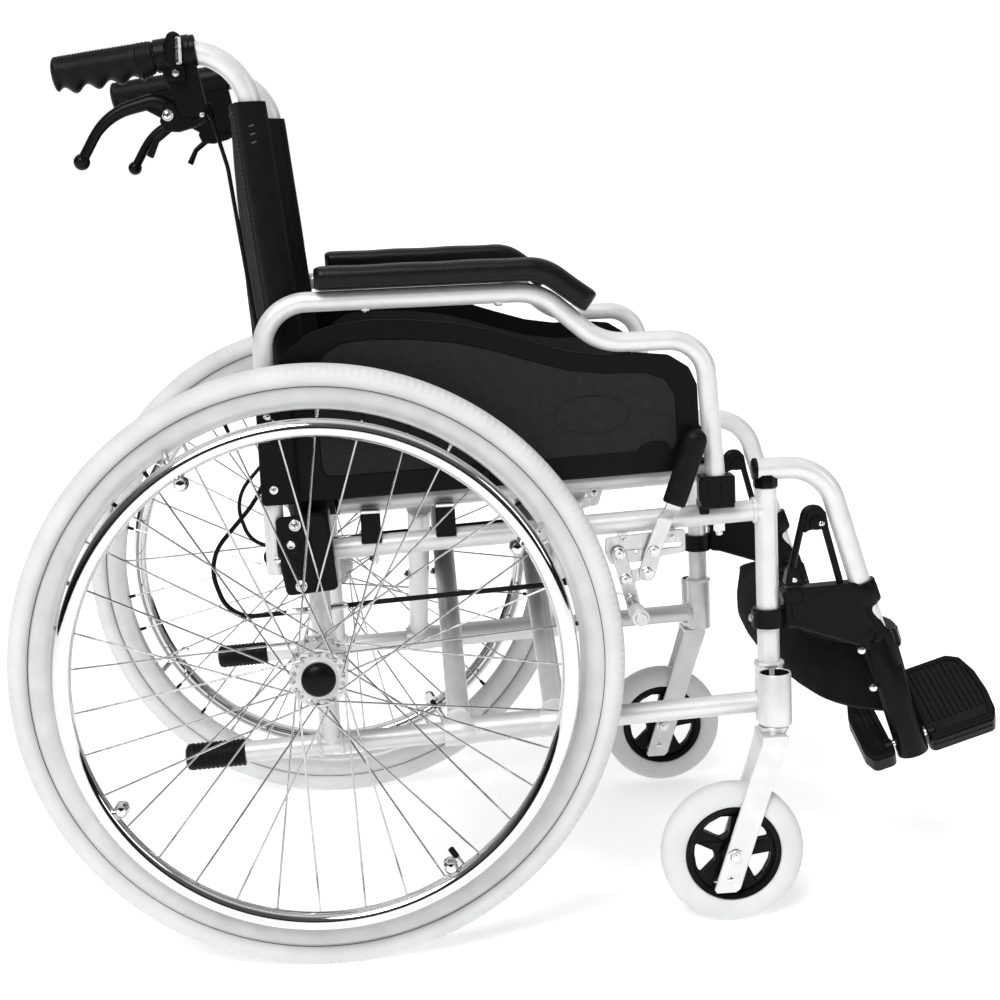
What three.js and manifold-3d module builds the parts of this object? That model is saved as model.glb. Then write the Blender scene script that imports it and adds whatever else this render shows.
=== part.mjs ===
// Folding manual wheelchair with lift-up armrests, swing-away footrests, wheel locks and
// attendant brakes.  Millimetres.  +X forward, +Y to the rider's left, +Z up.
// While modelling, x = 0 is the rear axle, y = 0 the fold plane and z = 0 the floor;
// the finished group is shifted so that the origin is the middle of the footprint.
import * as THREE from 'three';
import { mergeVertices } from 'three/addons/utils/BufferGeometryUtils.js';
import Module from 'manifold-3d';

const wasm = await Module();
wasm.setup();

// ---- driving dimensions ----------------------------------------------------
const ORIGIN_X = 202;            // footprint centre, ahead of the rear axle
const GAP = 0.35;                // clearance between touching pieces
const FRAME_Y = 215;             // side frame tubes, half spacing
const SEAT_RAIL_Y = 195;         // seat rails, half spacing
const ARM_Y = 241;               // armrest plane
const CASTER_Y = 243;            // caster plane
const WHEEL_Y = 283.5;           // rear wheel mid-plane
const HANDRIM_Y = 322;           // handrim plane
const TUBE_R = 11;               // frame tube radius
const ARM_TUBE_R = 10;           // armrest tube radius
const RAIL_SLOPE = 0.038;        // the rails rise towards the front
const LOWER_RAIL_Z = 208.5;      // rail heights above the rear axle's place
const UPPER_RAIL_Z = 412.5;
const SEAT_RAIL_Z = 455;
const UPRIGHT_X = 465;           // front upright and caster axis
const UPRIGHT_TOP_Z = 453;
const WHEEL_R = 305;             // 24 inch tyre
const RIM_R = 270;               // tyre seat
const HANDRIM_R = 246.5;
const CASTER_R = 75;             // 6 inch caster
const CASTER_X = 416;
const ARM_PIVOT = { x: -38, z: 412 };
const HANGER_LEAN = 0.295;       // forward run per unit of drop of the hanger tube

const lowerRailZ = (x) => LOWER_RAIL_Z + RAIL_SLOPE * x;
const upperRailZ = (x) => UPPER_RAIL_Z + RAIL_SLOPE * x;
const seatRailZ = (x) => SEAT_RAIL_Z + RAIL_SLOPE * x;
const hangerX = (z) => 561.5 + HANGER_LEAN * (352 - z);

// ---- solids ----------------------------------------------------------------
// Welds a geometry's vertices, turns its faces outwards and makes a solid of it.
function solid(geometry) {
  const bare = geometry.index ? geometry.clone() : geometry;
  bare.deleteAttribute('normal');
  bare.deleteAttribute('uv');
  const welded = mergeVertices(bare, 1e-4);
  const p = welded.attributes.position;
  const index = Array.from(welded.index.array);
  const corners = [new THREE.Vector3(), new THREE.Vector3(), new THREE.Vector3()];
  const kept = [];
  let volume = 0;
  for (let i = 0; i < index.length; i += 3) {
    const [a, b, c] = index.slice(i, i + 3);
    if (a === b || b === c || c === a) continue;
    kept.push(a, b, c);
    corners.forEach((v, k) => v.fromBufferAttribute(p, index[i + k]));
    volume += corners[0].dot(corners[1].clone().cross(corners[2]));
  }
  if (volume < 0) {
    for (let i = 0; i < kept.length; i += 3) [kept[i], kept[i + 1]] = [kept[i + 1], kept[i]];
  }
  const mesh = new wasm.Mesh({
    numProp: 3,
    vertProperties: new Float32Array(p.array),
    triVerts: new Uint32Array(kept),
  });
  return new wasm.Manifold(mesh);
}

const join = (...solids) => solids.reduce((a, b) => a.add(b));

function geometryOf(manifold) {
  const mesh = manifold.getMesh();
  const geometry = new THREE.BufferGeometry();
  geometry.setAttribute('position', new THREE.BufferAttribute(mesh.vertProperties, 3));
  geometry.setIndex(new THREE.BufferAttribute(mesh.triVerts, 1));
  geometry.computeVertexNormals();
  return geometry;
}

const V = (x, y, z) => new THREE.Vector3(x, y, z);

function boxSolid(low, high) {
  const size = high.clone().sub(low);
  const geometry = new THREE.BoxGeometry(size.x, size.y, size.z);
  const middle = low.clone().add(high).multiplyScalar(0.5);
  return solid(geometry.translate(middle.x, middle.y, middle.z));
}

// A cylinder (or cone) from one point to another.
function rod(from, to, radius, sides = 10, endRadius = radius) {
  const along = to.clone().sub(from);
  const geometry = new THREE.CylinderGeometry(endRadius, radius, along.length(), sides);
  const turn = new THREE.Quaternion().setFromUnitVectors(V(0, 1, 0), along.clone().normalize());
  geometry.applyQuaternion(turn);
  const middle = from.clone().add(to).multiplyScalar(0.5);
  return solid(geometry.translate(middle.x, middle.y, middle.z));
}

// A curve through given points, with mitred joints, for tubes and cables.
class Route extends THREE.Curve {
  constructor(points) {
    super();
    this.points = points;
  }
  getPoint(t, target = new THREE.Vector3()) {
    const place = Math.min(Math.max(t, 0), 1) * (this.points.length - 1);
    const i = Math.min(Math.floor(place), this.points.length - 2);
    return target.lerpVectors(this.points[i], this.points[i + 1], place - i);
  }
  getPointAt(t, target) {
    return this.getPoint(t, target);
  }
  getTangent(t, target = new THREE.Vector3()) {
    const i = Math.round(t * (this.points.length - 1));
    const before = this.points[Math.max(i - 1, 0)];
    const after = this.points[Math.min(i + 1, this.points.length - 1)];
    return target.copy(after).sub(before).normalize();
  }
  getTangentAt(t, target) {
    return this.getTangent(t, target);
  }
}

// Rounds the corners of a path: each corner is [point, bend radius].
function rounded(corners, stepsPerBend = 4) {
  const points = [];
  corners.forEach(([corner, radius], i) => {
    const last = i === 0 || i === corners.length - 1;
    if (last || !radius) {
      points.push(corner.clone());
      return;
    }
    const back = corners[i - 1][0].clone().sub(corner).normalize();
    const on = corners[i + 1][0].clone().sub(corner).normalize();
    const half = back.angleTo(on) / 2;
    const reach = radius / Math.tan(half);
    const centre = corner.clone().add(back.clone().add(on).normalize()
      .multiplyScalar(radius / Math.sin(half)));
    const start = corner.clone().addScaledVector(back, reach).sub(centre);
    const end = corner.clone().addScaledVector(on, reach).sub(centre);
    const axis = start.clone().cross(end).normalize();
    const sweep = start.angleTo(end);
    for (let k = 0; k <= stepsPerBend; k += 1) {
      const turned = start.clone().applyAxisAngle(axis, (sweep * k) / stepsPerBend);
      points.push(turned.add(centre));
    }
  });
  return points;
}

function circleShape(radius, sides) {
  const shape = new THREE.Shape();
  for (let i = 0; i < sides; i += 1) {
    const angle = (2 * Math.PI * (i + 0.5)) / sides;
    const [x, y] = [radius * Math.cos(angle), radius * Math.sin(angle)];
    if (i === 0) shape.moveTo(x, y);
    else shape.lineTo(x, y);
  }
  shape.closePath();
  return shape;
}

function tube(corners, radius, { sides = 8, stepsPerBend = 4 } = {}) {
  const points = rounded(corners, stepsPerBend);
  return solid(new THREE.ExtrudeGeometry(circleShape(radius, sides), {
    steps: points.length - 1,
    extrudePath: new Route(points),
    bevelEnabled: false,
  }));
}

// A plate: an outline in x and z, between two y planes.
function plate(outline, lowY, highY) {
  const shape = new THREE.Shape(outline.map(([x, z]) => new THREE.Vector2(x, z)));
  const geometry = new THREE.ExtrudeGeometry(shape, { depth: highY - lowY, bevelEnabled: false });
  geometry.rotateX(Math.PI / 2);
  return solid(geometry.translate(0, highY, 0));
}

// Points of an arc in x and z.
function arc(cx, cz, radius, fromDeg, toDeg, steps) {
  return Array.from({ length: steps + 1 }, (_, i) => {
    const a = THREE.MathUtils.degToRad(fromDeg + ((toDeg - fromDeg) * i) / steps);
    return [cx + radius * Math.cos(a), cz + radius * Math.sin(a)];
  });
}

// A ring or wheel about the Y direction; its rim ends in a flat facet at the floor.
function turned(profile, centre, segments) {
  const ring = profile.map(([radius, y]) => new THREE.Vector2(radius, y));
  const geometry = new THREE.LatheGeometry(ring, segments, Math.PI / segments);
  return solid(geometry.translate(centre.x, centre.y, centre.z));
}

// Radius of the polygon whose flats lie at the given radius.
const around = (radius, segments) => radius / Math.cos(Math.PI / segments);

// A closed ring profile: rounded corners of an oval section.
function ovalRing(radius, halfWidth, halfHeight, y, count) {
  const points = Array.from({ length: count }, (_, i) => {
    const a = (2 * Math.PI * (i + 0.5)) / count;
    return [radius + halfHeight * Math.cos(a), y + halfWidth * Math.sin(a)];
  });
  return [...points, points[0]];
}

// ---- scene -----------------------------------------------------------------
const chair = new THREE.Group();
chair.position.x = -ORIGIN_X;

const COLOURS = {
  silver: { color: 0xd9dadb, roughness: 0.35, metalness: 0.8 },
  steel: { color: 0xb8bcc0, roughness: 0.3, metalness: 1 },
  chrome: { color: 0xe6e8ea, roughness: 0.12, metalness: 1 },
  plastic: { color: 0x17181a, roughness: 0.55, metalness: 0 },
  rubber: { color: 0x1a1a1b, roughness: 0.75, metalness: 0 },
  fabric: { color: 0x202124, roughness: 0.9, metalness: 0 },
  padding: { color: 0x1b1c1e, roughness: 0.6, metalness: 0 },
  tyre: { color: 0xdfe0e1, roughness: 0.7, metalness: 0 },
};

function add(name, manifold, colour) {
  const mesh = new THREE.Mesh(
    geometryOf(manifold),
    new THREE.MeshStandardMaterial(COLOURS[colour]),
  );
  mesh.name = name;
  chair.add(mesh);
}

// ---- one side of the chair -------------------------------------------------
// side is -1 on the rider's right and +1 on the left.
const canePath = (y) => [
  [V(5, y, lowerRailZ(5)), 0],
  [V(-1, y, 500), 250],
  [V(-43, y, 919), 60],
  [V(-216, y, 897.2), 0],
];
function sideFrame(side) {
  const y = side * FRAME_Y;
  const railFront = UPRIGHT_X - 2;
  const cane = tube(canePath(y), TUBE_R);
  const lower = tube([
    [V(-140, y, lowerRailZ(-140)), 0],
    [V(railFront, y, lowerRailZ(railFront)), 0],
  ], TUBE_R);
  const upper = tube([
    [V(0, y, upperRailZ(0)), 0],
    [V(railFront, y, upperRailZ(railFront)), 0],
  ], TUBE_R);
  const upright = rod(V(UPRIGHT_X, y, 211), V(UPRIGHT_X, y, UPRIGHT_TOP_Z), TUBE_R, 10);
  const housingY = side * CASTER_Y;
  const housing = rod(V(UPRIGHT_X, housingY, 209), V(UPRIGHT_X, housingY, 264), 16.7, 12);
  const weld = boxSolid(
    V(UPRIGHT_X - 7, Math.min(y, side * 232), 212),
    V(UPRIGHT_X + 7, Math.max(y, side * 232), 262),
  );
  const stem = rod(V(UPRIGHT_X, housingY, 200), V(UPRIGHT_X, housingY, 270), 8.5, 10);
  const axleTube = rod(V(0, y - side * 13, WHEEL_R), V(0, y + side * 24, WHEEL_R), 15, 12);
  const axleBore = rod(V(0, y - side * 20, WHEEL_R), V(0, y + side * 30, WHEEL_R), 6.8, 10);
  const whole = join(cane, lower, upper, upright, weld, housing, axleTube);
  return whole.subtract(stem).subtract(axleBore);
}

function handgrip(side) {
  const y = side * FRAME_Y;
  const start = V(-127, y, 908.3);
  const end = V(-225, y, 896);
  const outer = rod(start, end, 17, 10, 16);
  const bore = rod(start.clone().lerp(end, -0.1), start.clone().lerp(end, 0.96), TUBE_R + GAP + 0.4, 10);
  return outer.subtract(bore);
}

// Clamp and lever housing of the attendant brake, under the push handle.
const LEVER_PIVOT = { x: -117, z: 852 };
function leverBracket(side) {
  const y = side * FRAME_Y;
  const band = rod(V(-95, y, 912.4), V(-122, y, 909), 17, 10);
  const body = plate([
    [-118, 905], [-92, 908], [-83, 862], [-84, 850], [-96, 846], [-106, 862], [-112, 880],
  ], y - 9, y + 9);
  const cheeks = plate([
    [-108, 868], [-86, 862], [-84, 848], [-110, 843], [-123, 843], [-124, 857], [-114, 862],
  ], y - 9, y + 9);
  const slot = boxSolid(V(-140, y - 4.6, 830), V(-103.5, y + 4.6, 862.5));
  const bore = tube(canePath(y), TUBE_R + GAP);
  return join(band, body, cheeks).subtract(slot).subtract(bore);
}

function attendantLever(side) {
  const y = side * FRAME_Y;
  const arm = tube([
    [V(-108, y, 851.5), 0],
    [V(-128, y, 866), 22],
    [V(-180, y, 852), 60],
    [V(-203, y, 813), 0],
  ], 4, { sides: 6, stepsPerBend: 3 });
  const ball = solid(new THREE.SphereGeometry(8, 8, 6).translate(-204, y, 811));
  return join(arm, ball);
}

// Cable of the attendant brake: down behind the cane, back round to the wheel lock.
function cablePath(side) {
  const y = side * FRAME_Y;
  const inner = y - side * 17;
  return [
    [V(-79, inner, 858), 0],
    [V(-64, inner, 800), 60],
    [V(-46, inner, 640), 200],
    [V(-34, inner, 490), 120],
    [V(-112, inner, 405), 50],
    [V(-92, inner, 343), 34],
    [V(-30, inner, 346), 30],
    [V(60, inner, 352), 200],
    [V(262, inner, 361), 0],
  ];
}

function brakeCable(side) {
  return tube(cablePath(side), 2.8, { sides: 6, stepsPerBend: 4 });
}

// ---- armrest: lifts up and back about a pin in the rear plate ----
function armrestTube(side) {
  const y = side * ARM_Y;
  return tube([
    [V(ARM_PIVOT.x, y, 396), 0],
    [V(-39, y, 666), 45],
    [V(236, y, 666), 60],
    [V(296, y, 612), 60],
    [V(400, y, 611), 38],
    [V(409, y, 466), 0],
  ], ARM_TUBE_R, { sides: 8, stepsPerBend: 3 });
}

function armPad(side) {
  const under = 0.5 + ARM_TUBE_R;
  const low = [[16, 666 + under], [236, 666 + under], [250, 664 + under], [274, 642 + under]];
  const high = [[290, 652 + under], [258, 684 + under], [236, 690 + under], [16, 690 + under]];
  const edges = [side * (FRAME_Y + TUBE_R + 1), side * 264.5];
  return plate([...low, ...high], Math.min(...edges), Math.max(...edges));
}

function sidePanel(side) {
  const y = side * ARM_Y;
  const half = 3;
  const outline = [
    [-27, 467], [394, 480], [391, 566], [382, 585], [364, 597], [300, 597], [222, 618],
    [150, 638], [68, 644], [10, 636], [-17, 613], [-27, 600],
  ];
  return plate(outline, y - half, y + half);
}

// Plate on the rear post that carries the armrest pin.
function pivotPlate(side) {
  const y = side * (FRAME_Y + TUBE_R + GAP);
  const outer = y + side * 3.5;
  const outline = [
    [-34, 449], [-30, 452], [14, 452], [16, 449], [23, 378], [20, 374], [-30, 372], [-34, 376],
    [-36, 400], [-46, 403], [-48, 412], [-46, 421], [-36, 424],
  ];
  const bore = rod(V(ARM_PIVOT.x, y - 20, ARM_PIVOT.z), V(ARM_PIVOT.x, y + 20, ARM_PIVOT.z), 5.4, 10);
  return plate(outline, Math.min(y, outer), Math.max(y, outer)).subtract(bore);
}

function armPin(side) {
  return rod(
    V(ARM_PIVOT.x, side * (FRAME_Y + 8), ARM_PIVOT.z),
    V(ARM_PIVOT.x, side * ARM_Y, ARM_PIVOT.z),
    5,
    8,
  );
}

// Open block that takes the front leg of the armrest.
function armSocket(side) {
  const y = side * ARM_Y;
  const block = boxSolid(V(391, y - 12.5, 441), V(427, y + 12.5, 473));
  const seat = boxSolid(V(398, Math.min(y, side * 214), 440.2), V(420, Math.max(y, side * 214), 446));
  const pocket = rod(V(409.4, y, 452), V(407.8, y, 480), ARM_TUBE_R + 1.2, 8);
  return join(block, seat).subtract(pocket);
}

function armLatch(side) {
  const y = side * (ARM_Y - 12.5 - GAP - 2.5);
  const outline = [[407, 449], [420, 449], [424, 462], [416, 492], [409, 493], [406, 462]];
  return plate(outline, y - 2, y + 2);
}

// Cradle bolted on the upper rail; the seat rail drops into it when the chair is open.
function saddle(side, x) {
  const railTop = upperRailZ(x) + TUBE_R + GAP;
  const inner = side * (SEAT_RAIL_Y + TUBE_R + GAP);
  const outer = side * (FRAME_Y + 6);
  const base = boxSolid(
    V(x - 11, Math.min(inner, outer), railTop + 0.6),
    V(x + 11, Math.max(inner, outer), seatRailZ(x) + 2),
  );
  return base;
}

// ---- rear wheel ----
const FLANGE_OFFSET = 33;
const HUB_R = 14;
const FLANGE_R = 28;
const SPOKES = 36;
function rearWheel(side) {
  const centre = V(0, side * WHEEL_Y, WHEEL_R);
  const flange = FLANGE_OFFSET;
  const hub = turned([
    [0, -flange - 3], [FLANGE_R, -flange - 3], [FLANGE_R, -flange + 1], [HUB_R, -flange + 3],
    [HUB_R, flange - 3], [FLANGE_R, flange - 1], [FLANGE_R, flange + 3], [0, flange + 3],
  ], centre, 16);
  const rim = turned([
    [RIM_R - 9, -9], [RIM_R - GAP, -12], [RIM_R - GAP, 12], [RIM_R - 9, 9], [RIM_R - 9, -9],
  ], centre, 36);
  const spokes = [];
  for (let i = 0; i < SPOKES; i += 1) {
    const onRim = (2 * Math.PI * i) / SPOKES;
    const lean = THREE.MathUtils.degToRad(i % 4 < 2 ? 62 : -62);
    const onHub = onRim + lean;
    const end = i % 2 ? 1 : -1;
    const root = V(24 * Math.sin(onHub), end * flange, 24 * Math.cos(onHub)).add(centre);
    const tip = V((RIM_R - 5) * Math.sin(onRim), end * 3, (RIM_R - 5) * Math.cos(onRim)).add(centre);
    spokes.push(rod(root, tip, 1.3, 3));
  }
  const bore = rod(V(0, centre.y - 50, WHEEL_R), V(0, centre.y + 50, WHEEL_R), 6.8, 10);
  return join(hub, rim, ...spokes).subtract(bore);
}

function tyre(side) {
  const centre = V(0, side * WHEEL_Y, WHEEL_R);
  const segments = 36;
  const crown = around(WHEEL_R, segments);
  return turned([
    [RIM_R + GAP, -13], [RIM_R + 14, -18], [WHEEL_R - 9, -16], [crown, -8], [crown, 8],
    [WHEEL_R - 9, 16], [RIM_R + 14, 18], [RIM_R + GAP, 13], [RIM_R + GAP, -13],
  ], centre, segments);
}

const STANDOFF_ANGLES = [31, 121, 211, 301];
function handrim(side) {
  const centre = V(0, side * HANDRIM_Y, WHEEL_R);
  const ring = turned(ovalRing(HANDRIM_R, 9.5, 9.5, 0, 6), centre, 32);
  const tabs = STANDOFF_ANGLES.map((angle) => {
    const a = THREE.MathUtils.degToRad(angle);
    const inner = RIM_R - 5;
    const seatY = side * (WHEEL_Y + 14.5);
    const out = V(HANDRIM_R * Math.cos(a), side * HANDRIM_Y, WHEEL_R + HANDRIM_R * Math.sin(a));
    const back = V(inner * Math.cos(a), seatY, WHEEL_R + inner * Math.sin(a));
    return rod(out, back, 4, 6);
  });
  return join(ring, ...tabs);
}

// Quick-release axle with its dust cap.
function axle(side) {
  const outer = side * (WHEEL_Y + FLANGE_OFFSET + 3 + GAP);
  const pin = rod(V(0, side * (FRAME_Y - 22), WHEEL_R), V(0, outer + side, WHEEL_R), 6.3, 10);
  const cap = rod(V(0, outer, WHEEL_R), V(0, outer + side * 4, WHEEL_R), 16, 16);
  return join(pin, cap);
}

// ---- caster ----
const FORK_WIDTH = 27;
function casterFork(side) {
  const y = side * CASTER_Y;
  const inside = 16;
  const thick = 4;
  const edge = (shift) => [[460.5, 201], [460.5, 190], [450, 162], [406, 37]]
    .map(([x, z]) => [x + shift, z]);
  const half = FORK_WIDTH / 2;
  const outline = [...edge(-half), ...edge(half).reverse()];
  const legs = [-1, 1].map((end) => {
    const near = y + end * inside;
    const far = y + end * (inside + thick);
    return plate(outline, Math.min(near, far), Math.max(near, far));
  });
  const crown = boxSolid(V(460.5 - half, y - inside - thick, 197), V(460.5 + half, y + inside + thick, 201));
  const stem = rod(V(UPRIGHT_X, y, 199), V(UPRIGHT_X, y, 258), 8, 10);
  const collar = rod(V(UPRIGHT_X, y, 200), V(UPRIGHT_X, y, 208.4), 13, 12);
  const pin = rod(V(CASTER_X, y - inside - 1, CASTER_R), V(CASTER_X, y + inside + 1, CASTER_R), 5, 8);
  return join(crown, stem, collar, pin, ...legs);
}

function casterWheel(side) {
  const y = side * CASTER_Y;
  const segments = 28;
  const crown = around(CASTER_R, segments);
  const whole = turned([
    [5.4, -14], [14, -14], [16, -5], [44, -5], [50, -12], [62, -14], [crown - 4, -11], [crown, -5],
    [crown, 5], [crown - 4, 11], [62, 14], [50, 12], [44, 5], [16, 5], [14, 14], [5.4, 14], [5.4, -14],
  ], V(CASTER_X, y, CASTER_R), segments);
  const windows = Array.from({ length: 5 }, (_, i) => {
    const a = (2 * Math.PI * i) / 5 - 0.49;
    const at = V(CASTER_X + 30 * Math.cos(a), y, CASTER_R + 30 * Math.sin(a));
    return rod(at.clone().add(V(0, -20, 0)), at.clone().add(V(0, 20, 0)), 9.5, 8);
  });
  return windows.reduce((wheel, hole) => wheel.subtract(hole), whole);
}

// ---- wheel lock under the upper rail ----
const LOCK_Y = 232;              // mid-plane of the lock's plates
const LOCK_GRIP_Y = 265.5;        // the grip stands outside the side panel
const LOCK_LEVER_PIN = { x: 344, z: 397.5 };
const LOCK_LEVER_LOW = { x: 337, z: 374.5 };
const LOCK_ARM_PIN = { x: 308.5, z: 395.5 };
const LOCK_ARM_MID = { x: 314.5, z: 368.5 };
function lockPlate(side) {
  const near = side * (LOCK_Y - 4.8);
  const far = side * (LOCK_Y - 1.8);
  const flat = plate([
    [297, 411], [377, 416], [377, 392], [352, 389], [345, 386], [300, 383], [294, 396],
  ], Math.min(near, far), Math.max(near, far));
  const clampFrom = side * (FRAME_Y + TUBE_R - 0.5);
  const clamp = boxSolid(
    V(312, Math.min(clampFrom, far), 402),
    V(366, Math.max(clampFrom, far), 412),
  );
  const rail = tube([
    [V(280, side * FRAME_Y, upperRailZ(280)), 0],
    [V(400, side * FRAME_Y, upperRailZ(400)), 0],
  ], TUBE_R + GAP, { sides: 8 });
  return join(flat, clamp).subtract(rail);
}

function lockStrip(from, to, width, lowY, highY) {
  const along = new THREE.Vector2(to.x - from.x, to.z - from.z);
  const angle = THREE.MathUtils.radToDeg(Math.atan2(along.y, along.x));
  return plate([
    ...arc(to.x, to.z, width / 2, angle - 90, angle + 90, 4),
    ...arc(from.x, from.z, width / 2, angle + 90, angle + 270, 4),
  ], lowY, highY);
}

const layer = (side, from, to) => [Math.min(side * from, side * to), Math.max(side * from, side * to)];

function lockLever(side) {
  const [low, high] = layer(side, LOCK_Y + 1.6, LOCK_Y + 4.6);
  const bar = join(
    lockStrip(LOCK_LEVER_LOW, LOCK_LEVER_PIN, 17, low, high),
    lockStrip(LOCK_LEVER_PIN, { x: 366, z: 452 }, 15, low, high),
  );
  const gripY = side * LOCK_GRIP_Y;
  const step = rod(V(361, side * (LOCK_Y + 3), 441), V(362, gripY, 444), 5, 6);
  const grip = rod(V(361, gripY, 438), V(391, gripY, 516), 11, 10, 11);
  return join(bar, step, grip);
}

function lockLink(side) {
  const [low, high] = layer(side, LOCK_Y - 1.4, LOCK_Y + 1.2);
  return lockStrip(LOCK_ARM_MID, LOCK_LEVER_LOW, 13, low, high);
}

// Arm that swings the brake shoe against the tyre.
function lockArm(side) {
  const [low, high] = layer(side, LOCK_Y + 1.6, LOCK_Y + 4.6);
  const strip = lockStrip(LOCK_ARM_PIN, { x: 322, z: 342 }, 15, low, high);
  const shoe = rod(V(321, side * (LOCK_Y + 2), 343), V(321, side * 302, 341), 6.5, 10);
  return join(strip, shoe);
}

// ---- footrest hanger ----
const PLATE_PITCH = 16.4;        // square to the hanger tube
const PLATE_TILT = { right: 34, left: 3 };
const PLATE_HINGE_Z = 176;
const PLATE_PIN_R = 4;
function platePin(side, radius, reach) {
  const pitch = THREE.MathUtils.degToRad(PLATE_PITCH);
  const along = V(Math.cos(pitch), 0, Math.sin(pitch));
  const middle = V(hangerX(PLATE_HINGE_Z), side * FRAME_Y, PLATE_HINGE_Z);
  const from = middle.clone().addScaledVector(along, -reach);
  return rod(from, middle.clone().addScaledVector(along, reach), radius, 8);
}

function hangerTube(side) {
  const y = side * FRAME_Y;
  const low = 168;
  return join(
    tube([
      [V(453, y, 472), 0],
      [V(526, y, 472), 50],
      [V(hangerX(low), y, low), 0],
    ], TUBE_R, { sides: 10, stepsPerBend: 5 }),
    rod(V(UPRIGHT_X, y, UPRIGHT_TOP_Z + GAP), V(UPRIGHT_X, y, 466), 12.5, 12),
  ).subtract(platePin(side, PLATE_PIN_R + GAP, 30));
}

const HANGER_RING = { low: 307, high: 325 };
// Side moulding that ties the hanger tube to the upright, with its hinge ring.
function hangerBracket(side) {
  const y = side * FRAME_Y;
  const web = plate([
    [480, 345], [576, 349], [582, 330], [573, 321], [597, 284], [617, 210], [602, 206],
    [560, 280], [520, 296], [480, 305],
  ], y - 5, y + 5);
  const sleeve = tube([
    [V(hangerX(290), y, 290), 0],
    [V(hangerX(160), y, 160), 0],
  ], 17, { sides: 10 });
  const cuff = tube([[V(hangerX(349), y, 349), 0], [V(hangerX(326), y, 326), 0]], 15, { sides: 10 });
  const ring = rod(V(UPRIGHT_X, y, HANGER_RING.low), V(UPRIGHT_X, y, HANGER_RING.high), 17, 12);
  const post = rod(V(UPRIGHT_X, y, 200), V(UPRIGHT_X, y, 460), TUBE_R + GAP + 0.4, 12);
  const core = tube([
    [V(453, y, 472), 0],
    [V(526, y, 472), 50],
    [V(hangerX(167), y, 167), 0],
  ], TUBE_R + GAP, { sides: 10, stepsPerBend: 5 });
  const pinHole = platePin(side, PLATE_PIN_R + GAP, 30);
  return join(web, sleeve, cuff, ring).subtract(post).subtract(core).subtract(pinHole);
}

// A-shaped lever that frees the hanger from the upright.
function releaseLever(side) {
  const y = side * FRAME_Y;
  const foot = V(491, y, 350.5);
  const top = V(513, y, 424);
  return join(
    rod(foot, top, 4, 6),
    rod(top, V(537, y, 356), 3.5, 6),
    rod(V(515, y - 6, 420), V(515, y + 6, 420), 8, 10),
  );
}

// Footplate: a ribbed tread slotted around the sleeve, on a pin across the hanger tube.
function footplate(side) {
  const shape = new THREE.Shape();
  const outline = [
    [-56, -14], [-61, 0], [-58, 50], [-48, 76], [-32, 85], [68, 85], [84, 76], [95, 50],
    [98, 0], [90, -14],
  ];
  outline.forEach(([u, v], i) => (i ? shape.lineTo(u, v) : shape.moveTo(u, v)));
  shape.closePath();
  const slab = new THREE.ExtrudeGeometry(shape, { depth: 21, bevelEnabled: false });
  slab.translate(0, 0, -17);
  const notch = boxSolid(V(-19.5, -30, -40), V(19.5, 62, 40));
  const bars = [-50, -36, 26, 44, 62, 80].map((u) => boxSolid(V(u, 15, 2), V(u + 6, 72, 5)));
  const local = geometryOf(join(solid(slab), ...bars).subtract(notch));
  const tilt = THREE.MathUtils.degToRad(side < 0 ? PLATE_TILT.right : PLATE_TILT.left);
  local.rotateX(tilt);
  local.rotateY(THREE.MathUtils.degToRad(-PLATE_PITCH));
  local.translate(hangerX(PLATE_HINGE_Z), -FRAME_Y, PLATE_HINGE_Z);
  if (side > 0) local.scale(1, -1, 1);
  return join(solid(local), platePin(side, PLATE_PIN_R, 22));
}

// Half of the calf strap; the two halves meet at a hook-and-loop join on the fold plane.
function calfStrap(side) {
  const low = 218;
  const height = 90;
  const thick = 4;
  const section = [[0.4, -103], [60, -101], [120, -94], [165, -74], [190, -40], [197.6, -8]];
  const shape = new THREE.Shape();
  section.forEach(([y, x], i) => (i ? shape.lineTo(y, x) : shape.moveTo(y, x)));
  [...section].reverse().forEach(([y, x]) => shape.lineTo(y, x + thick));
  shape.closePath();
  const geometry = new THREE.ExtrudeGeometry(shape, { depth: height, bevelEnabled: false });
  const place = new THREE.Matrix4().makeBasis(V(0, 1, 0), V(1, 0, 0), V(-HANGER_LEAN, 0, 1));
  place.setPosition(hangerX(low), 0, low);
  geometry.applyMatrix4(place);
  if (side < 0) geometry.scale(1, -1, 1);
  return solid(geometry);
}

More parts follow.
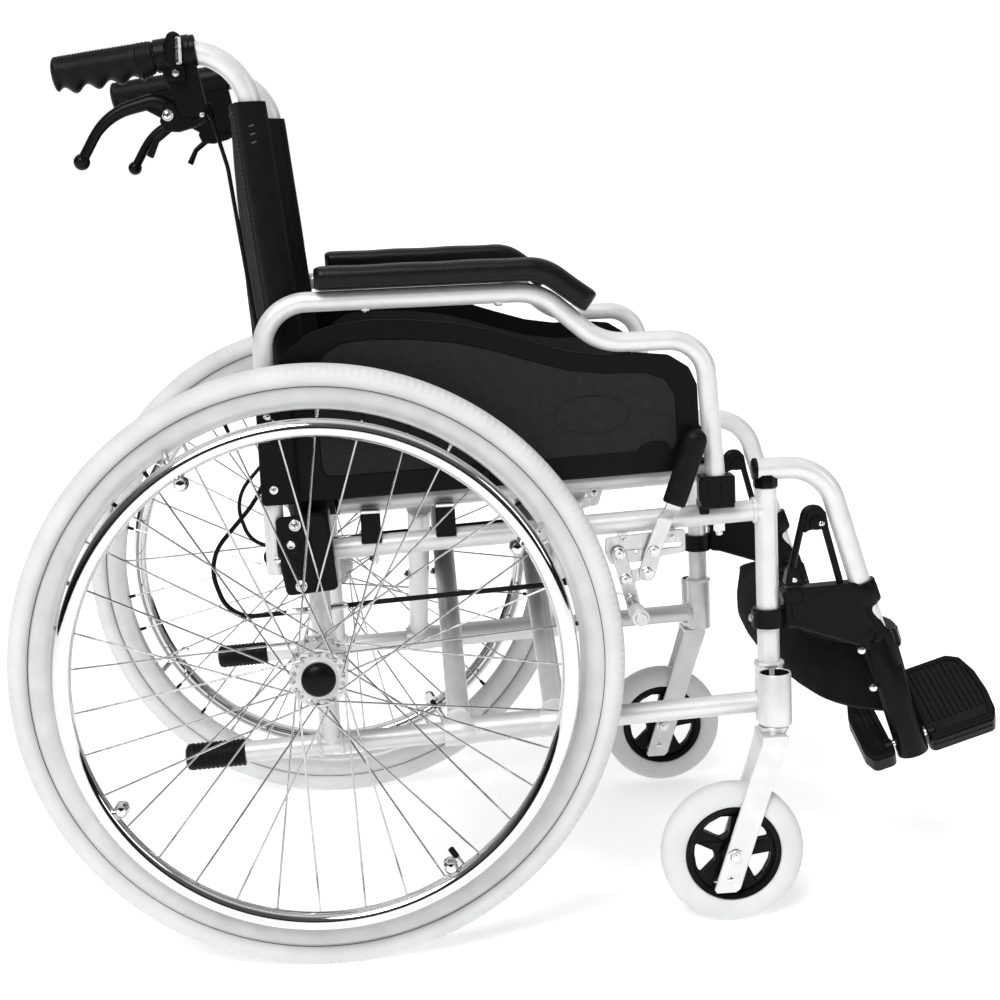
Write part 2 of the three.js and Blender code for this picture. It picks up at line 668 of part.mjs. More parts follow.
for (const [side, tag] of [[-1, 'right'], [1, 'left']]) {
  add(`side_frame_${tag}`, sideFrame(side), 'silver');
  add(`push_grip_${tag}`, handgrip(side), 'rubber');
  add(`attendant_lever_bracket_${tag}`, leverBracket(side), 'plastic');
  add(`attendant_lever_${tag}`, attendantLever(side), 'plastic');
  add(`brake_cable_${tag}`, brakeCable(side), 'rubber');
  add(`armrest_tube_${tag}`, join(armrestTube(side), armPin(side)), 'silver');
  add(`arm_pad_${tag}`, armPad(side), 'padding');
  add(`side_panel_${tag}`, sidePanel(side), 'plastic');
  add(`armrest_pivot_plate_${tag}`, pivotPlate(side), 'plastic');
  add(`armrest_socket_${tag}`, armSocket(side), 'plastic');
  add(`armrest_latch_${tag}`, armLatch(side), 'plastic');
  add(`seat_saddle_${tag}`, saddle(side, 58), 'plastic');
  add(`rear_wheel_${tag}`, rearWheel(side), 'steel');
  add(`tyre_${tag}`, tyre(side), 'tyre');
  add(`handrim_${tag}`, handrim(side), 'chrome');
  add(`quick_release_axle_${tag}`, axle(side), 'steel');
  add(`caster_fork_${tag}`, casterFork(side), 'silver');
  add(`caster_wheel_${tag}`, casterWheel(side), 'tyre');
  add(`wheel_lock_plate_${tag}`, lockPlate(side), 'steel');
  add(`wheel_lock_lever_${tag}`, lockLever(side), 'steel');
  add(`wheel_lock_link_${tag}`, lockLink(side), 'steel');
  add(`wheel_lock_arm_${tag}`, lockArm(side), 'steel');
  add(`hanger_tube_${tag}`, hangerTube(side), 'silver');
  add(`hanger_bracket_${tag}`, hangerBracket(side), 'plastic');
  add(`hanger_release_lever_${tag}`, releaseLever(side), 'plastic');
  add(`footplate_${tag}`, footplate(side), 'plastic');
  add(`calf_strap_${tag}`, calfStrap(side), 'fabric');
}

// ---- folding cross-brace ---------------------------------------------------
// Each brace is named after the side its feet turn on; it carries the other side's seat rail.
const SLEEVE_BORE = 12.2;        // the foot sleeves turn freely round the lower rails
const BRACE = {
  right: { side: -1, rear: 138, front: 238, topShift: 0 },
  left: { side: 1, rear: 108, front: 268, topShift: 0 },
};
function crossBrace({ side, rear, front }) {
  const footY = side * FRAME_Y;
  const topY = -side * SEAT_RAIL_Y;
  const sleeveLow = Math.min(rear, front) - 16;
  const sleeveHigh = Math.max(rear, front) + 16;
  const legs = [rear, front].map((x) => rod(
    V(x, footY, lowerRailZ(x)),
    V(x, topY, seatRailZ(x)),
    12,
    8,
  ));
  const rail = tube([
    [V(24, topY, seatRailZ(24)), 0],
    [V(412, topY, seatRailZ(412)), 0],
  ], TUBE_R);
  const sleeve = tube([
    [V(sleeveLow, footY, lowerRailZ(sleeveLow)), 0],
    [V(sleeveHigh, footY, lowerRailZ(sleeveHigh)), 0],
  ], 15);
  const rails = tube([
    [V(-50, footY, lowerRailZ(-50)), 0],
    [V(420, footY, lowerRailZ(420)), 0],
  ], SLEEVE_BORE, { sides: 12 });
  return join(...legs, rail, sleeve).subtract(rails);
}
add('cross_brace_right', crossBrace(BRACE.right), 'silver');
add('cross_brace_left', crossBrace(BRACE.left), 'silver');

// ---- upholstery, in halves that meet on the fold plane ----------------------
function seatHalf(side) {
  const x = [28, 408];
  const thick = 5;
  const section = [[0.4, -16], [70, -13], [140, -5], [172, 6.5], [SEAT_RAIL_Y, 12]];
  const shape = new THREE.Shape();
  section.forEach(([y, z], i) => (i ? shape.lineTo(y, z) : shape.moveTo(y, z)));
  [...section].reverse().forEach(([y, z]) => shape.lineTo(y, z + thick));
  shape.closePath();
  const geometry = new THREE.ExtrudeGeometry(shape, { depth: x[1] - x[0], bevelEnabled: false });
  const place = new THREE.Matrix4().makeBasis(V(0, 1, 0), V(0, 0, 1), V(1, 0, RAIL_SLOPE));
  place.setPosition(x[0], 0, seatRailZ(x[0]));
  geometry.applyMatrix4(place);
  if (side < 0) geometry.scale(1, -1, 1);
  return solid(geometry);
}
add('seat_sling_right', seatHalf(-1), 'fabric');
add('seat_sling_left', seatHalf(1), 'fabric');

const BACK_LEAN = 0.1;           // canes lean back by this much per unit of height
function backHalf(side) {
  const z = [430, 862];
  const caneX = -1 - BACK_LEAN * (z[0] - 500);
  const section = [[0.4, -34], [70, -31], [140, -25], [FRAME_Y - 17, -22.5], [FRAME_Y, -21]];
  const shape = new THREE.Shape();
  section.forEach(([y, x], i) => (i ? shape.lineTo(y, x) : shape.moveTo(y, x)));
  [...section].reverse().forEach(([y, x]) => shape.lineTo(y, x + 4.5));
  shape.closePath();
  const geometry = new THREE.ExtrudeGeometry(shape, { depth: z[1] - z[0], bevelEnabled: false });
  const place = new THREE.Matrix4().makeBasis(V(0, 1, 0), V(1, 0, 0), V(-BACK_LEAN, 0, 1));
  place.setPosition(caneX, 0, z[0]);
  geometry.applyMatrix4(place);
  if (side < 0) geometry.scale(1, -1, 1);
  return solid(geometry);
}
add('back_sling_right', backHalf(-1), 'fabric');
add('back_sling_left', backHalf(1), 'fabric');

export default chair;
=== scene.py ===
"""Looks of the folding wheelchair: every CAD node is replaced by a detailed piece.

Shapes are given in the CAD's design millimetres (x = 0 at the rear axle, y = 0 at the fold
plane, z = 0 on the floor) and turned into the row frame's metres when a piece is finished.
"""

from math import atan2, ceil, copysign, cos, pi, radians, sin, sqrt, tan

import bmesh
import bpy
from mathutils import Matrix, Quaternion, Vector, noise
from mathutils.geometry import tessellate_polygon


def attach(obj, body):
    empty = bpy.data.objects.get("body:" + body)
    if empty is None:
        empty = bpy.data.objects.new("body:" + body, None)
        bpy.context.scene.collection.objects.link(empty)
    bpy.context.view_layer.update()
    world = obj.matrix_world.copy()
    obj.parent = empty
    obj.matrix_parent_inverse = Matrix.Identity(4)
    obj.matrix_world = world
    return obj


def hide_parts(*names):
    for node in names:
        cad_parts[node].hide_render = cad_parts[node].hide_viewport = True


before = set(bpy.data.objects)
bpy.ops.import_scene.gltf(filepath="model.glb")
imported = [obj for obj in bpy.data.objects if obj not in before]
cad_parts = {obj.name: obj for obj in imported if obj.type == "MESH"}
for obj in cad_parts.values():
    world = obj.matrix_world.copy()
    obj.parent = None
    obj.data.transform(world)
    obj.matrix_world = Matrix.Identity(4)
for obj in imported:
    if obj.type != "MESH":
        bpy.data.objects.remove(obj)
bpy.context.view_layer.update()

# ---- driving dimensions, the same as the CAD's ---------------------------------------
ORIGIN_X = 202.0
FRAME_Y, SEAT_Y, ARM_Y, CASTER_Y, WHEEL_Y, HANDRIM_Y = 215.0, 195.0, 241.0, 243.0, 283.5, 322.0
TUBE_R, ARM_R = 11.0, 10.0
SLOPE = 0.038
UPRIGHT_X = 465.0
AXLE_Z = 305.0
WHEEL_R, HANDRIM_R = 305.0, 246.5
CASTER_R, CASTER_X = 75.0, 416.0
LEAN = 0.295
LOCK_Y, LOCK_GRIP_Y = 232.0, 265.5
LEVER_PIVOT = (-117.0, 852.0)
ARM_PIVOT = (-38.0, 412.0)
SHARP_ANGLE = radians(36)
UP, OUT = Vector((0, 0, 1)), Vector((0, 1, 0))


def lower_z(x):
    return 208.5 + SLOPE * x


def upper_z(x):
    return 412.5 + SLOPE * x


def seat_z(x):
    return 455.0 + SLOPE * x


def hanger_x(z):
    return 561.5 + LEAN * (352 - z)


def V(x, y, z):
    return Vector((x, y, z))


# ---- materials -----------------------------------------------------------------------
def socket_set(node, **values):
    for name, value in values.items():
        node.inputs[name.replace("_", " ")].default_value = value


class Stuff:
    """A procedural material: a principled shader with noise in its colour, roughness and bump."""

    def __init__(self, name, colour, rough, metal=0.0, coat=0.0, coat_rough=0.1, sheen=0.0,
                 specular=0.5):
        self.material = bpy.data.materials.new(name)
        self.material.use_nodes = True
        self.tree = self.material.node_tree
        self.shader = self.tree.nodes["Principled BSDF"]
        self.colour, self.rough = colour, rough
        socket_set(self.shader, Metallic=metal, Coat_Weight=coat, Coat_Roughness=coat_rough,
                   Sheen_Weight=sheen, Roughness=rough)
        self.shader.inputs["Specular IOR Level"].default_value = specular
        self.shader.inputs["Base Color"].default_value = (*colour, 1)
        self.place = self.node("ShaderNodeTexCoord").outputs["Object"]
        self.height = None

    def node(self, kind, **settings):
        made = self.tree.nodes.new(kind)
        for name, value in settings.items():
            setattr(made, name, value)
        return made

    def link(self, a, b):
        self.tree.links.new(a, b)

    def stretched(self, scale):
        mapping = self.node("ShaderNodeMapping")
        mapping.inputs["Scale"].default_value = scale
        self.link(self.place, mapping.inputs["Vector"])
        return mapping.outputs["Vector"]

    def noise(self, scale, detail=3.0, stretch=None):
        tex = self.node("ShaderNodeTexNoise")
        socket_set(tex, Scale=scale, Detail=detail)
        self.link(self.stretched(stretch) if stretch else self.place, tex.inputs["Vector"])
        return tex.outputs["Fac"]

    def cells(self, scale, feature="F1"):
        tex = self.node("ShaderNodeTexVoronoi", feature=feature)
        tex.inputs["Scale"].default_value = scale
        self.link(self.place, tex.inputs["Vector"])
        return tex.outputs["Distance"]

    def bands(self, scale, axis):
        tex = self.node("ShaderNodeTexWave", bands_direction=axis, wave_profile="SIN")
        socket_set(tex, Scale=scale, Distortion=0.25)
        self.link(self.place, tex.inputs["Vector"])
        return tex.outputs["Fac"]

    def ramp(self, value, stops):
        ramp = self.node("ShaderNodeValToRGB")
        marks = ramp.color_ramp.elements
        while len(marks) < len(stops):
            marks.new(0.5)
        for mark, (at, colour) in zip(marks, stops):
            mark.position = at
            mark.color = (*colour, 1) if hasattr(colour, "__len__") else (colour,) * 3 + (1,)
        self.link(value, ramp.inputs["Fac"])
        return ramp.outputs["Color"]

    def mottle(self, value, spread, low=0.35, high=0.65):
        """Colour varies by this share round its middle."""
        dark = [c * (1 - spread) for c in self.colour]
        light = [min(c * (1 + spread), 1.0) for c in self.colour]
        self.link(self.ramp(value, [(low, dark), (high, light)]), self.shader.inputs["Base Color"])
        return self

    def uneven(self, value, spread, low=0.3, high=0.7):
        ends = [max(self.rough - spread, 0.02), min(self.rough + spread, 1.0)]
        self.link(self.ramp(value, [(low, ends[0]), (high, ends[1])]), self.shader.inputs["Roughness"])
        return self

    def bump(self, value, depth, strength=1.0):
        """Depth in millimetres."""
        node = self.node("ShaderNodeBump")
        socket_set(node, Strength=strength, Distance=depth / 1000)
        self.link(value, node.inputs["Height"])
        if self.height:
            self.link(self.height, node.inputs["Normal"])
        self.height = node.outputs["Normal"]
        self.link(self.height, self.shader.inputs["Normal"])
        return self

    def mixed(self, a, b, mode="ADD", share=1.0):
        mix = self.node("ShaderNodeMix", data_type="RGBA", blend_type=mode)
        mix.inputs["Factor"].default_value = share
        self.link(a, mix.inputs["A"])
        self.link(b, mix.inputs["B"])
        return mix.outputs["Result"]


def grey(v):
    return (v, v, v)


def silver_paint():
    s = Stuff("silver_paint", (0.70, 0.702, 0.706), 0.38, metal=0.3, coat=0.25, coat_rough=0.14)
    s.mottle(s.noise(60, 4), 0.035)
    s.uneven(s.noise(140, 3), 0.06)
    return s.bump(s.noise(1200, 2), 0.004).bump(s.noise(320, 3), 0.015)


def brushed(name, colour, rough, scale):
    s = Stuff(name, colour, rough, metal=1.0)
    s.mottle(s.noise(90, 4), 0.06)
    s.uneven(s.noise(700, 3, scale), 0.08)
    return s.bump(s.noise(700, 2, scale), 0.005)


def chrome():
    s = Stuff("chrome", (0.68, 0.685, 0.69), 0.07, metal=1.0)
    s.mottle(s.noise(45, 3), 0.03)
    s.uneven(s.noise(160, 4), 0.03)
    return s.bump(s.noise(220, 3), 0.006)


def bright_spoke():
    s = Stuff("spoke_steel", (0.50, 0.50, 0.50), 0.22, metal=0.9)
    s.mottle(s.noise(30, 3), 0.15)
    return s.uneven(s.noise(180, 3), 0.08)


def alloy():
    s = Stuff("rim_alloy", (0.60, 0.603, 0.607), 0.38, metal=0.35)
    s.mottle(s.noise(40, 3), 0.05)
    s.uneven(s.noise(200, 3), 0.06)
    return s.bump(s.noise(300, 2), 0.008)


def moulded(name, value, rough, grain=900, depth=0.035, worn=0.12):
    """Grained plastic: pebbled bump, duller in the hollows."""
    s = Stuff(name, grey(value), rough, specular=0.12)
    s.mottle(s.noise(120, 5), worn)
    s.uneven(s.noise(grain * 0.7, 3), 0.07)
    return s.bump(s.cells(grain), depth * 0.6).bump(s.noise(150, 3), 0.04)


def rubber():
    s = Stuff("black_rubber", grey(0.003), 0.5, specular=0.14)
    s.mottle(s.noise(80, 4), 0.3)
    s.uneven(s.noise(420, 3), 0.08)
    return s.bump(s.noise(1300, 3), 0.03)


def woven(name, value, thread=1150.0):
    """Plain weave of fine yarns, with a faint sheen and lint."""
    s = Stuff(name, grey(value), 0.78, sheen=0.01, specular=0.08)
    s.mottle(s.noise(70, 5), 0.2)
    s.uneven(s.noise(400, 3), 0.06)
    warp = s.mixed(s.bands(thread, "Y"), s.bands(thread, "Z"), "MULTIPLY")
    weft = s.mixed(warp, s.bands(thread, "X"), "ADD", 0.5)
    return s.bump(weft, 0.10, 0.8).bump(s.noise(38, 4), 0.7, 0.5)


def vinyl():
    s = Stuff("pad_vinyl", grey(0.003), 0.38, coat=0.05, coat_rough=0.25, specular=0.18)
    s.mottle(s.noise(60, 4), 0.3)
    s.uneven(s.noise(260, 4), 0.09)
    return s.bump(s.cells(520), 0.16, 0.9).bump(s.noise(95, 4), 0.35, 0.8)


def tyre_rubber():
    s = Stuff("light_tyre", (0.64, 0.645, 0.65), 0.62, specular=0.3)
    s.mottle(s.noise(26, 6), 0.045)
    s.uneven(s.noise(240, 3), 0.08)
    return s.bump(s.noise(900, 3), 0.05).bump(s.noise(60, 3), 0.1)


SILVER = silver_paint()
STEEL = brushed("zinc_steel", (0.60, 0.605, 0.61), 0.34, (1, 1, 0.08))
BOLT = brushed("bright_fastener", (0.72, 0.72, 0.72), 0.22, (1, 0.1, 1))
SPOKE = bright_spoke()
ALLOY = alloy()
CHROME = chrome()
PLASTIC = moulded("black_plastic", 0.0025, 0.36)
PANEL = moulded("panel_grain", 0.014, 0.55, grain=650, depth=0.09)
PANEL_EDGE = moulded("panel_border", 0.002, 0.4, grain=1500, depth=0.02)
# footplate tread plastic, a little lighter than the black plastic: the lighter colour is painted highlight on
# the ribs and tread
TREAD_LIGHTENED = moulded("tread_plastic_painted_highlight", 0.006, 0.3, grain=800, depth=0.05)
# matte near-black: the real colour of some spoke nipples and one pivot-plate button, and painted shade in the
# caster housing's bore, the screw crosses and the bracket's grooves
MATTE_BLACK_AND_SHADE = moulded("matte_black_and_painted_shade", 0.006, 0.7, grain=500, depth=0.03)
RUBBER = rubber()
FABRIC = woven("sling_fabric", 0.005)
EDGING = woven("sling_edging", 0.02, 800.0)
THREAD = woven("stitching", 0.10, 1800.0)
VINYL = vinyl()
TYRE = tyre_rubber()


# ---- mesh making ---------------------------------------------------------------------
def rounded(corners, step=radians(7)):
    """Turns [(corner, bend radius), ...] into the points of a smooth path."""
    points = []
    for i, (corner, radius) in enumerate(corners):
        if i in (0, len(corners) - 1) or not radius:
            points.append(corner.copy())
            continue
        back = (corners[i - 1][0] - corner).normalized()
        on = (corners[i + 1][0] - corner).normalized()
        half = back.angle(on) / 2
        reach = radius / tan(half)
        centre = corner + (back + on).normalized() * (radius / sin(half))
        start, end = corner + back * reach - centre, corner + on * reach - centre
        axis = start.cross(end).normalized()
        sweep = start.angle(end)
        steps = max(3, ceil(sweep / step))
        for k in range(steps + 1):
            points.append(centre + Quaternion(axis, sweep * k / steps) @ start)
    return points


def frames_along(points):
    """(point, side, up) at each point, turned as little as possible from one to the next."""
    tangents = []
    for i in range(len(points)):
        a, b = points[max(i - 1, 0)], points[min(i + 1, len(points) - 1)]
        tangents.append((b - a).normalized())
    first = tangents[0]
    side = first.cross(UP if abs(first.z) < 0.9 else Vector((1, 0, 0))).normalized()
    out = []
    for i, t in enumerate(tangents):
        if i:
            side = tangents[i - 1].rotation_difference(t) @ side
        side = (side - t * side.dot(t)).normalized()
        out.append((points[i], side, side.cross(t).normalized()))
    return out


def arc2(cx, cy, r, a0, a1, steps):
    return [(cx + r * cos(radians(a0 + (a1 - a0) * k / steps)),
             cy + r * sin(radians(a0 + (a1 - a0) * k / steps))) for k in range(steps + 1)]


def circle2(cx, cy, r, n=16):
    return [(cx + r * cos(2 * pi * k / n), cy + r * sin(2 * pi * k / n)) for k in range(n)]


def area2(loop):
    return sum(loop[i - 1][0] * loop[i][1] - loop[i][0] * loop[i - 1][1] for i in range(len(loop))) / 2


def soft2(loop, radius, step=radians(18)):
    """Rounds an outline's corners, each by radius or as much as its sides allow."""
    out = []
    n = len(loop)
    for i in range(n):
        p, a, b = (Vector(loop[j % n]) for j in (i, i - 1, i + 1))
        back, on = a - p, b - p
        la, lb = back.length, on.length
        if min(la, lb) < 1e-6:
            continue
        back, on = back / la, on / lb
        angle = back.angle(on)
        if angle > radians(176):
            out.append((p.x, p.y))
            continue
        reach = min(radius / tan(angle / 2), 0.45 * la, 0.45 * lb)
        real = reach * tan(angle / 2)
        centre = p + (back + on).normalized() * (real / sin(angle / 2))
        s, e = p + back * reach - centre, p + on * reach - centre
        sweep = s.angle_signed(e)
        steps = max(2, ceil(abs(sweep) / step))
        for k in range(steps + 1):
            t = -sweep * k / steps
            out.append((centre.x + s.x * cos(t) - s.y * sin(t), centre.y + s.x * sin(t) + s.y * cos(t)))
    return out


def inset2(loop, by):
    """Moves an outline inwards by this much, or outwards if it is negative."""
    turn = 1 if area2(loop) > 0 else -1
    out = []
    n = len(loop)
    for i in range(n):
        p, a, b = Vector(loop[i]), Vector(loop[i - 1]), Vector(loop[(i + 1) % n])
        d1, d2 = (p - a), (b - p)
        if d1.length < 1e-9 or d2.length < 1e-9:
            out.append(loop[i])
            continue
        d1, d2 = d1.normalized(), d2.normalized()
        n1, n2 = Vector((-d1.y, d1.x)) * turn, Vector((-d2.y, d2.x)) * turn
        k = max(1 + n1.dot(n2), 0.35)
        q = p + (n1 + n2) / k * by
        out.append((q.x, q.y))
    return out


class Piece:
    """Collects closed shells, each with its own material, into one mesh object."""

    def __init__(self, name, side=0):
        self.side = side
        self.tag = {-1: "_right", 1: "_left", 0: ""}[side]
        self.node = name + self.tag
        self.v, self.f, self.m, self.mats = [], [], [], []

    def slot_of(self, stuff):
        if stuff not in self.mats:
            self.mats.append(stuff)
        return self.mats.index(stuff)

    def shell(self, rings, stuff, caps=(True, True), loop=False):
        base, n, k = len(self.v), len(rings[0]), self.slot_of(stuff)
        for ring in rings:
            self.v.extend(Vector(p) for p in ring)
        count = len(rings)
        for i in range(count if loop else count - 1):
            a, b = base + i * n, base + ((i + 1) % count) * n
            for j in range(n):
                j2 = (j + 1) % n
                self.f.append((a + j, a + j2, b + j2, b + j))
                self.m.append(k)
        if not loop:
            if caps[0]:
                self.f.append(tuple(base + j for j in reversed(range(n))))
                self.m.append(k)
            if caps[1]:
                self.f.append(tuple(base + (count - 1) * n + j for j in range(n)))
                self.m.append(k)
        return self

    def tube(self, path, r, stuff, sides=20, chamfer=1.0, flat=1.0):
        """A tube along points or rounded corners; r is a radius or a function of the share along."""
        points = rounded(path) if isinstance(path[0], tuple) else [Vector(p) for p in path]
        if chamfer:
            a = (points[1] - points[0]).normalized()
            b = (points[-2] - points[-1]).normalized()
            points = [points[0], points[0] + a * chamfer, *points[1:-1], points[-1] + b * chamfer,
                      points[-1]]
        lengths = [0.0]
        for i in range(1, len(points)):
            lengths.append(lengths[-1] + (points[i] - points[i - 1]).length)
        rings = []
        last = len(points) - 1
        for i, (p, s, u) in enumerate(frames_along(points)):
            radius = r(lengths[i] / lengths[-1]) if callable(r) else r
            if chamfer and i in (0, last):
                radius -= chamfer
            rings.append([p + s * (radius * cos(2 * pi * j / sides))
                          + u * (radius * flat * sin(2 * pi * j / sides))
                          for j in range(sides)])
        return self.shell(rings, stuff)

    def rod(self, a, b, r, stuff, sides=20, chamfer=0.8, end=None):
        end = r if end is None else end
        return self.tube([a, b], lambda t: r + (end - r) * t, stuff, sides, chamfer)

    def lathe(self, centre, axis, profile, stuff, segs=32, loop=False, start=0.0):
        """Turns (radius, height) points about an axis; a closed profile is a ring."""
        axis = axis.normalized()
        s = axis.cross(Vector((1, 0, 0)) if abs(axis.x) < 0.9 else UP).normalized()
        u = axis.cross(s)
        rings = []
        for r, h in profile:
            r = max(r, 0.02)
            rings.append([centre + axis * h + s * (r * cos(2 * pi * j / segs + start))
                          + u * (r * sin(2 * pi * j / segs + start)) for j in range(segs)])
        return self.shell(rings, stuff, loop=loop)

    def ball(self, centre, r, stuff, squash=1.0, axis=UP, n=20):
        profile = [(r * sin(pi * k / 12), -r * squash * cos(pi * k / 12)) for k in range(13)]
        return self.lathe(centre, axis, profile, stuff, n)

    def bead(self, centre, axis, ring, r, stuff=None, segs=36):
        """A weld bead: a slightly lumpy ring."""
        axis = axis.normalized()
        s = axis.cross(Vector((1, 0, 0)) if abs(axis.x) < 0.9 else UP).normalized()
        u = axis.cross(s)
        rings = []
        for j in range(segs):
            a = 2 * pi * j / segs
            out = s * cos(a) + u * sin(a)
            rr = r * (1 + 0.16 * sin(9 * a) + 0.1 * sin(17 * a + 1))
            rings.append([centre + out * (ring + rr * cos(2 * pi * k / 8)) + axis * (rr * sin(2 * pi * k / 8))
                          for k in range(8)])
        return self.shell(rings, stuff or SILVER, loop=True)

    def slab(self, outline, w0, w1, stuff, chamfer=0.8, holes=(), place=None, corner=0.0):
        """A plate: outline in two directions, between two levels of the third.
        place(u, v, w) says where a point goes; by default u is x, v is z and w is y."""
        place = place or (lambda u, v, w: V(u, w, v))
        if corner:
            outline = soft2(outline, corner)
        if area2(outline) < 0:
            outline = outline[::-1]
        w0, w1 = min(w0, w1), max(w0, w1)
        c = min(chamfer, (w1 - w0) * 0.4)
        levels = [(w0, c), (w0 + c, 0.0), (w1 - c, 0.0), (w1, c)] if c else [(w0, 0.0), (w1, 0.0)]
        k = self.slot_of(stuff)
        loops = []
        for hole in [None, *holes]:
            loop = outline if hole is None else (hole if area2(hole) < 0 else hole[::-1])
            base, n = len(self.v), len(loop)
            for w, by in levels:
                shaped = inset2(loop, by if hole is None else -by) if by else loop
                self.v.extend(place(u, v, w) for u, v in shaped)
            for i in range(len(levels) - 1):
                a, b = base + i * n, base + (i + 1) * n
                for j in range(n):
                    j2 = (j + 1) % n
                    self.f.append((a + j, a + j2, b + j2, b + j))
                    self.m.append(k)
            loops.append((base, n, loop))
        for end in (0, len(levels) - 1):
            if not holes:
                base, n, _ = loops[0]
                self.f.append(tuple(base + end * n + j for j in range(n)))
                self.m.append(k)
                continue
            flat, index = [], []
            for base, n, loop in loops:
                flat.append([Vector((u, v, 0)) for u, v in loop])
                index.extend(base + end * n + j for j in range(n))
            for tri in tessellate_polygon(flat):
                self.f.append(tuple(index[t] for t in tri))
                self.m.append(k)
        return self

    def block(self, low, high, stuff, chamfer=1.2, corner=1.5):
        x0, x1 = sorted((low[0], high[0]))
        y0, y1 = sorted((low[1], high[1]))
        z0, z1 = sorted((low[2], high[2]))
        loop = [(x0, z0), (x1, z0), (x1, z1), (x0, z1)]
        return self.slab(loop, y0, y1, stuff, chamfer, corner=corner)

    def bolt(self, centre, out, r, stuff=None, kind="hex", height=None):
        """A bolt head on a washer, facing out."""
        stuff = stuff or BOLT
        out = out.normalized()
        h = height or r * 0.75
        self.lathe(centre, out, [(r * 1.25, -0.5), (r * 1.3, 0.3), (r * 1.15, 0.8), (r * 0.9, 0.8)], stuff,
                24)
        if kind == "hex":
            self.lathe(centre, out, [(r, 0.3), (r, h * 0.75), (r * 0.86, h), (r * 0.45, h)], stuff, 6)
            self.lathe(centre, out, [(r * 0.5, h - 0.4), (r * 0.48, h + r * 0.22), (r * 0.3, h + r * 0.25)],
                       stuff, 16)
        else:
            dome = [(r, 0.3), (r * 0.98, h * 0.4), (r * 0.82, h * 0.75), (r * 0.5, h * 0.95), (r * 0.3, h)]
            self.lathe(centre, out, dome, stuff, 20)
            s = out.cross(UP if abs(out.z) < 0.9 else Vector((1, 0, 0))).normalized()
            u = out.cross(s)
            # the cross recess is a thin dark cross laid on the dome: painted shade in place of a cut slot
            for a, b in ((s, u), (u, s)):
                arm, wide = r * 0.55, r * 0.1
                loop = [(-arm, -wide), (arm, -wide), (arm, wide), (-arm, wide)]
                self.slab(loop, h - 0.4, h + 0.06, MATTE_BLACK_AND_SHADE, 0,
                          place=lambda p, q, w, a=a, b=b: centre + a * p + b * q + out * w)
        return self

    def done(self, body, slot, replaces=None, ride=True):
        mesh = bpy.data.meshes.new(self.node + "_detail")
        points = [((p.x - ORIGIN_X) / 1000, p.y / 1000, p.z / 1000) for p in self.v]
        mesh.from_pydata(points, [], self.f)
        for stuff in self.mats:
            mesh.materials.append(stuff.material)
        mesh.polygons.foreach_set("material_index", self.m)
        bm = bmesh.new()
        bm.from_mesh(mesh)
        bmesh.ops.recalc_face_normals(bm, faces=bm.faces)
        bm.to_mesh(mesh)
        bm.free()
        mesh.polygons.foreach_set("use_smooth", [True] * len(mesh.polygons))
        mesh.set_sharp_from_angle(angle=SHARP_ANGLE)
        obj = bpy.data.objects.new(self.node + "_detail", mesh)
        bpy.context.scene.collection.objects.link(obj)
        if ride:
            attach(obj, body)
        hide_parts(*(replaces or [self.node]))
        return obj


def polyline_length(points):
    return sum((b - a).length for a, b in zip(points, points[1:]))


def cloth(piece, grid, thick, stuff):
    """A thin closed sheet round a grid of middle points; returns its mean width and length."""
    rows, cols = len(grid), len(grid[0])

    def normal(i, j):
        a = grid[min(i + 1, rows - 1)][j] - grid[max(i - 1, 0)][j]
        b = grid[i][min(j + 1, cols - 1)] - grid[i][max(j - 1, 0)]
        return a.cross(b).normalized()

    rings = []
    for i in range(rows):
        top = [grid[i][j] + normal(i, j) * (thick / 2) for j in range(cols)]
        low = [grid[i][j] - normal(i, j) * (thick / 2) for j in range(cols)]
        rings.append(top + low[::-1])
    base, n, k = len(piece.v), 2 * cols, piece.slot_of(stuff)
    piece.shell(rings, stuff, caps=(False, False))
    for i in (0, rows - 1):
        for j in range(cols - 1):
            a, b = base + i * n + j, base + i * n + j + 1
            c, d = base + i * n + n - 2 - j, base + i * n + n - 1 - j
            piece.f.append((a, b, c, d))
            piece.m.append(k)
    across = sum(polyline_length(row) for row in grid) / rows
    along = sum(polyline_length([row[j] for row in grid]) for j in range(cols)) / cols
    return across / 1000, along / 1000


# ---- side frame ----------------------------------------------------------------------
def cane_corners(y):
    return [(V(5, y, lower_z(5)), 0), (V(-1, y, 500), 250), (V(-43, y, 919), 60), (V(-216, y, 897.2), 0)]


CANE = rounded(cane_corners(0.0))


def cane_x(z):
    """The cane's middle at a height below its bend."""
    for a, b in zip(CANE, CANE[1:]):
        if a.z <= z <= b.z:
            return a.x + (b.x - a.x) * (z - a.z) / max(b.z - a.z, 1e-6)
    return CANE[-1].x


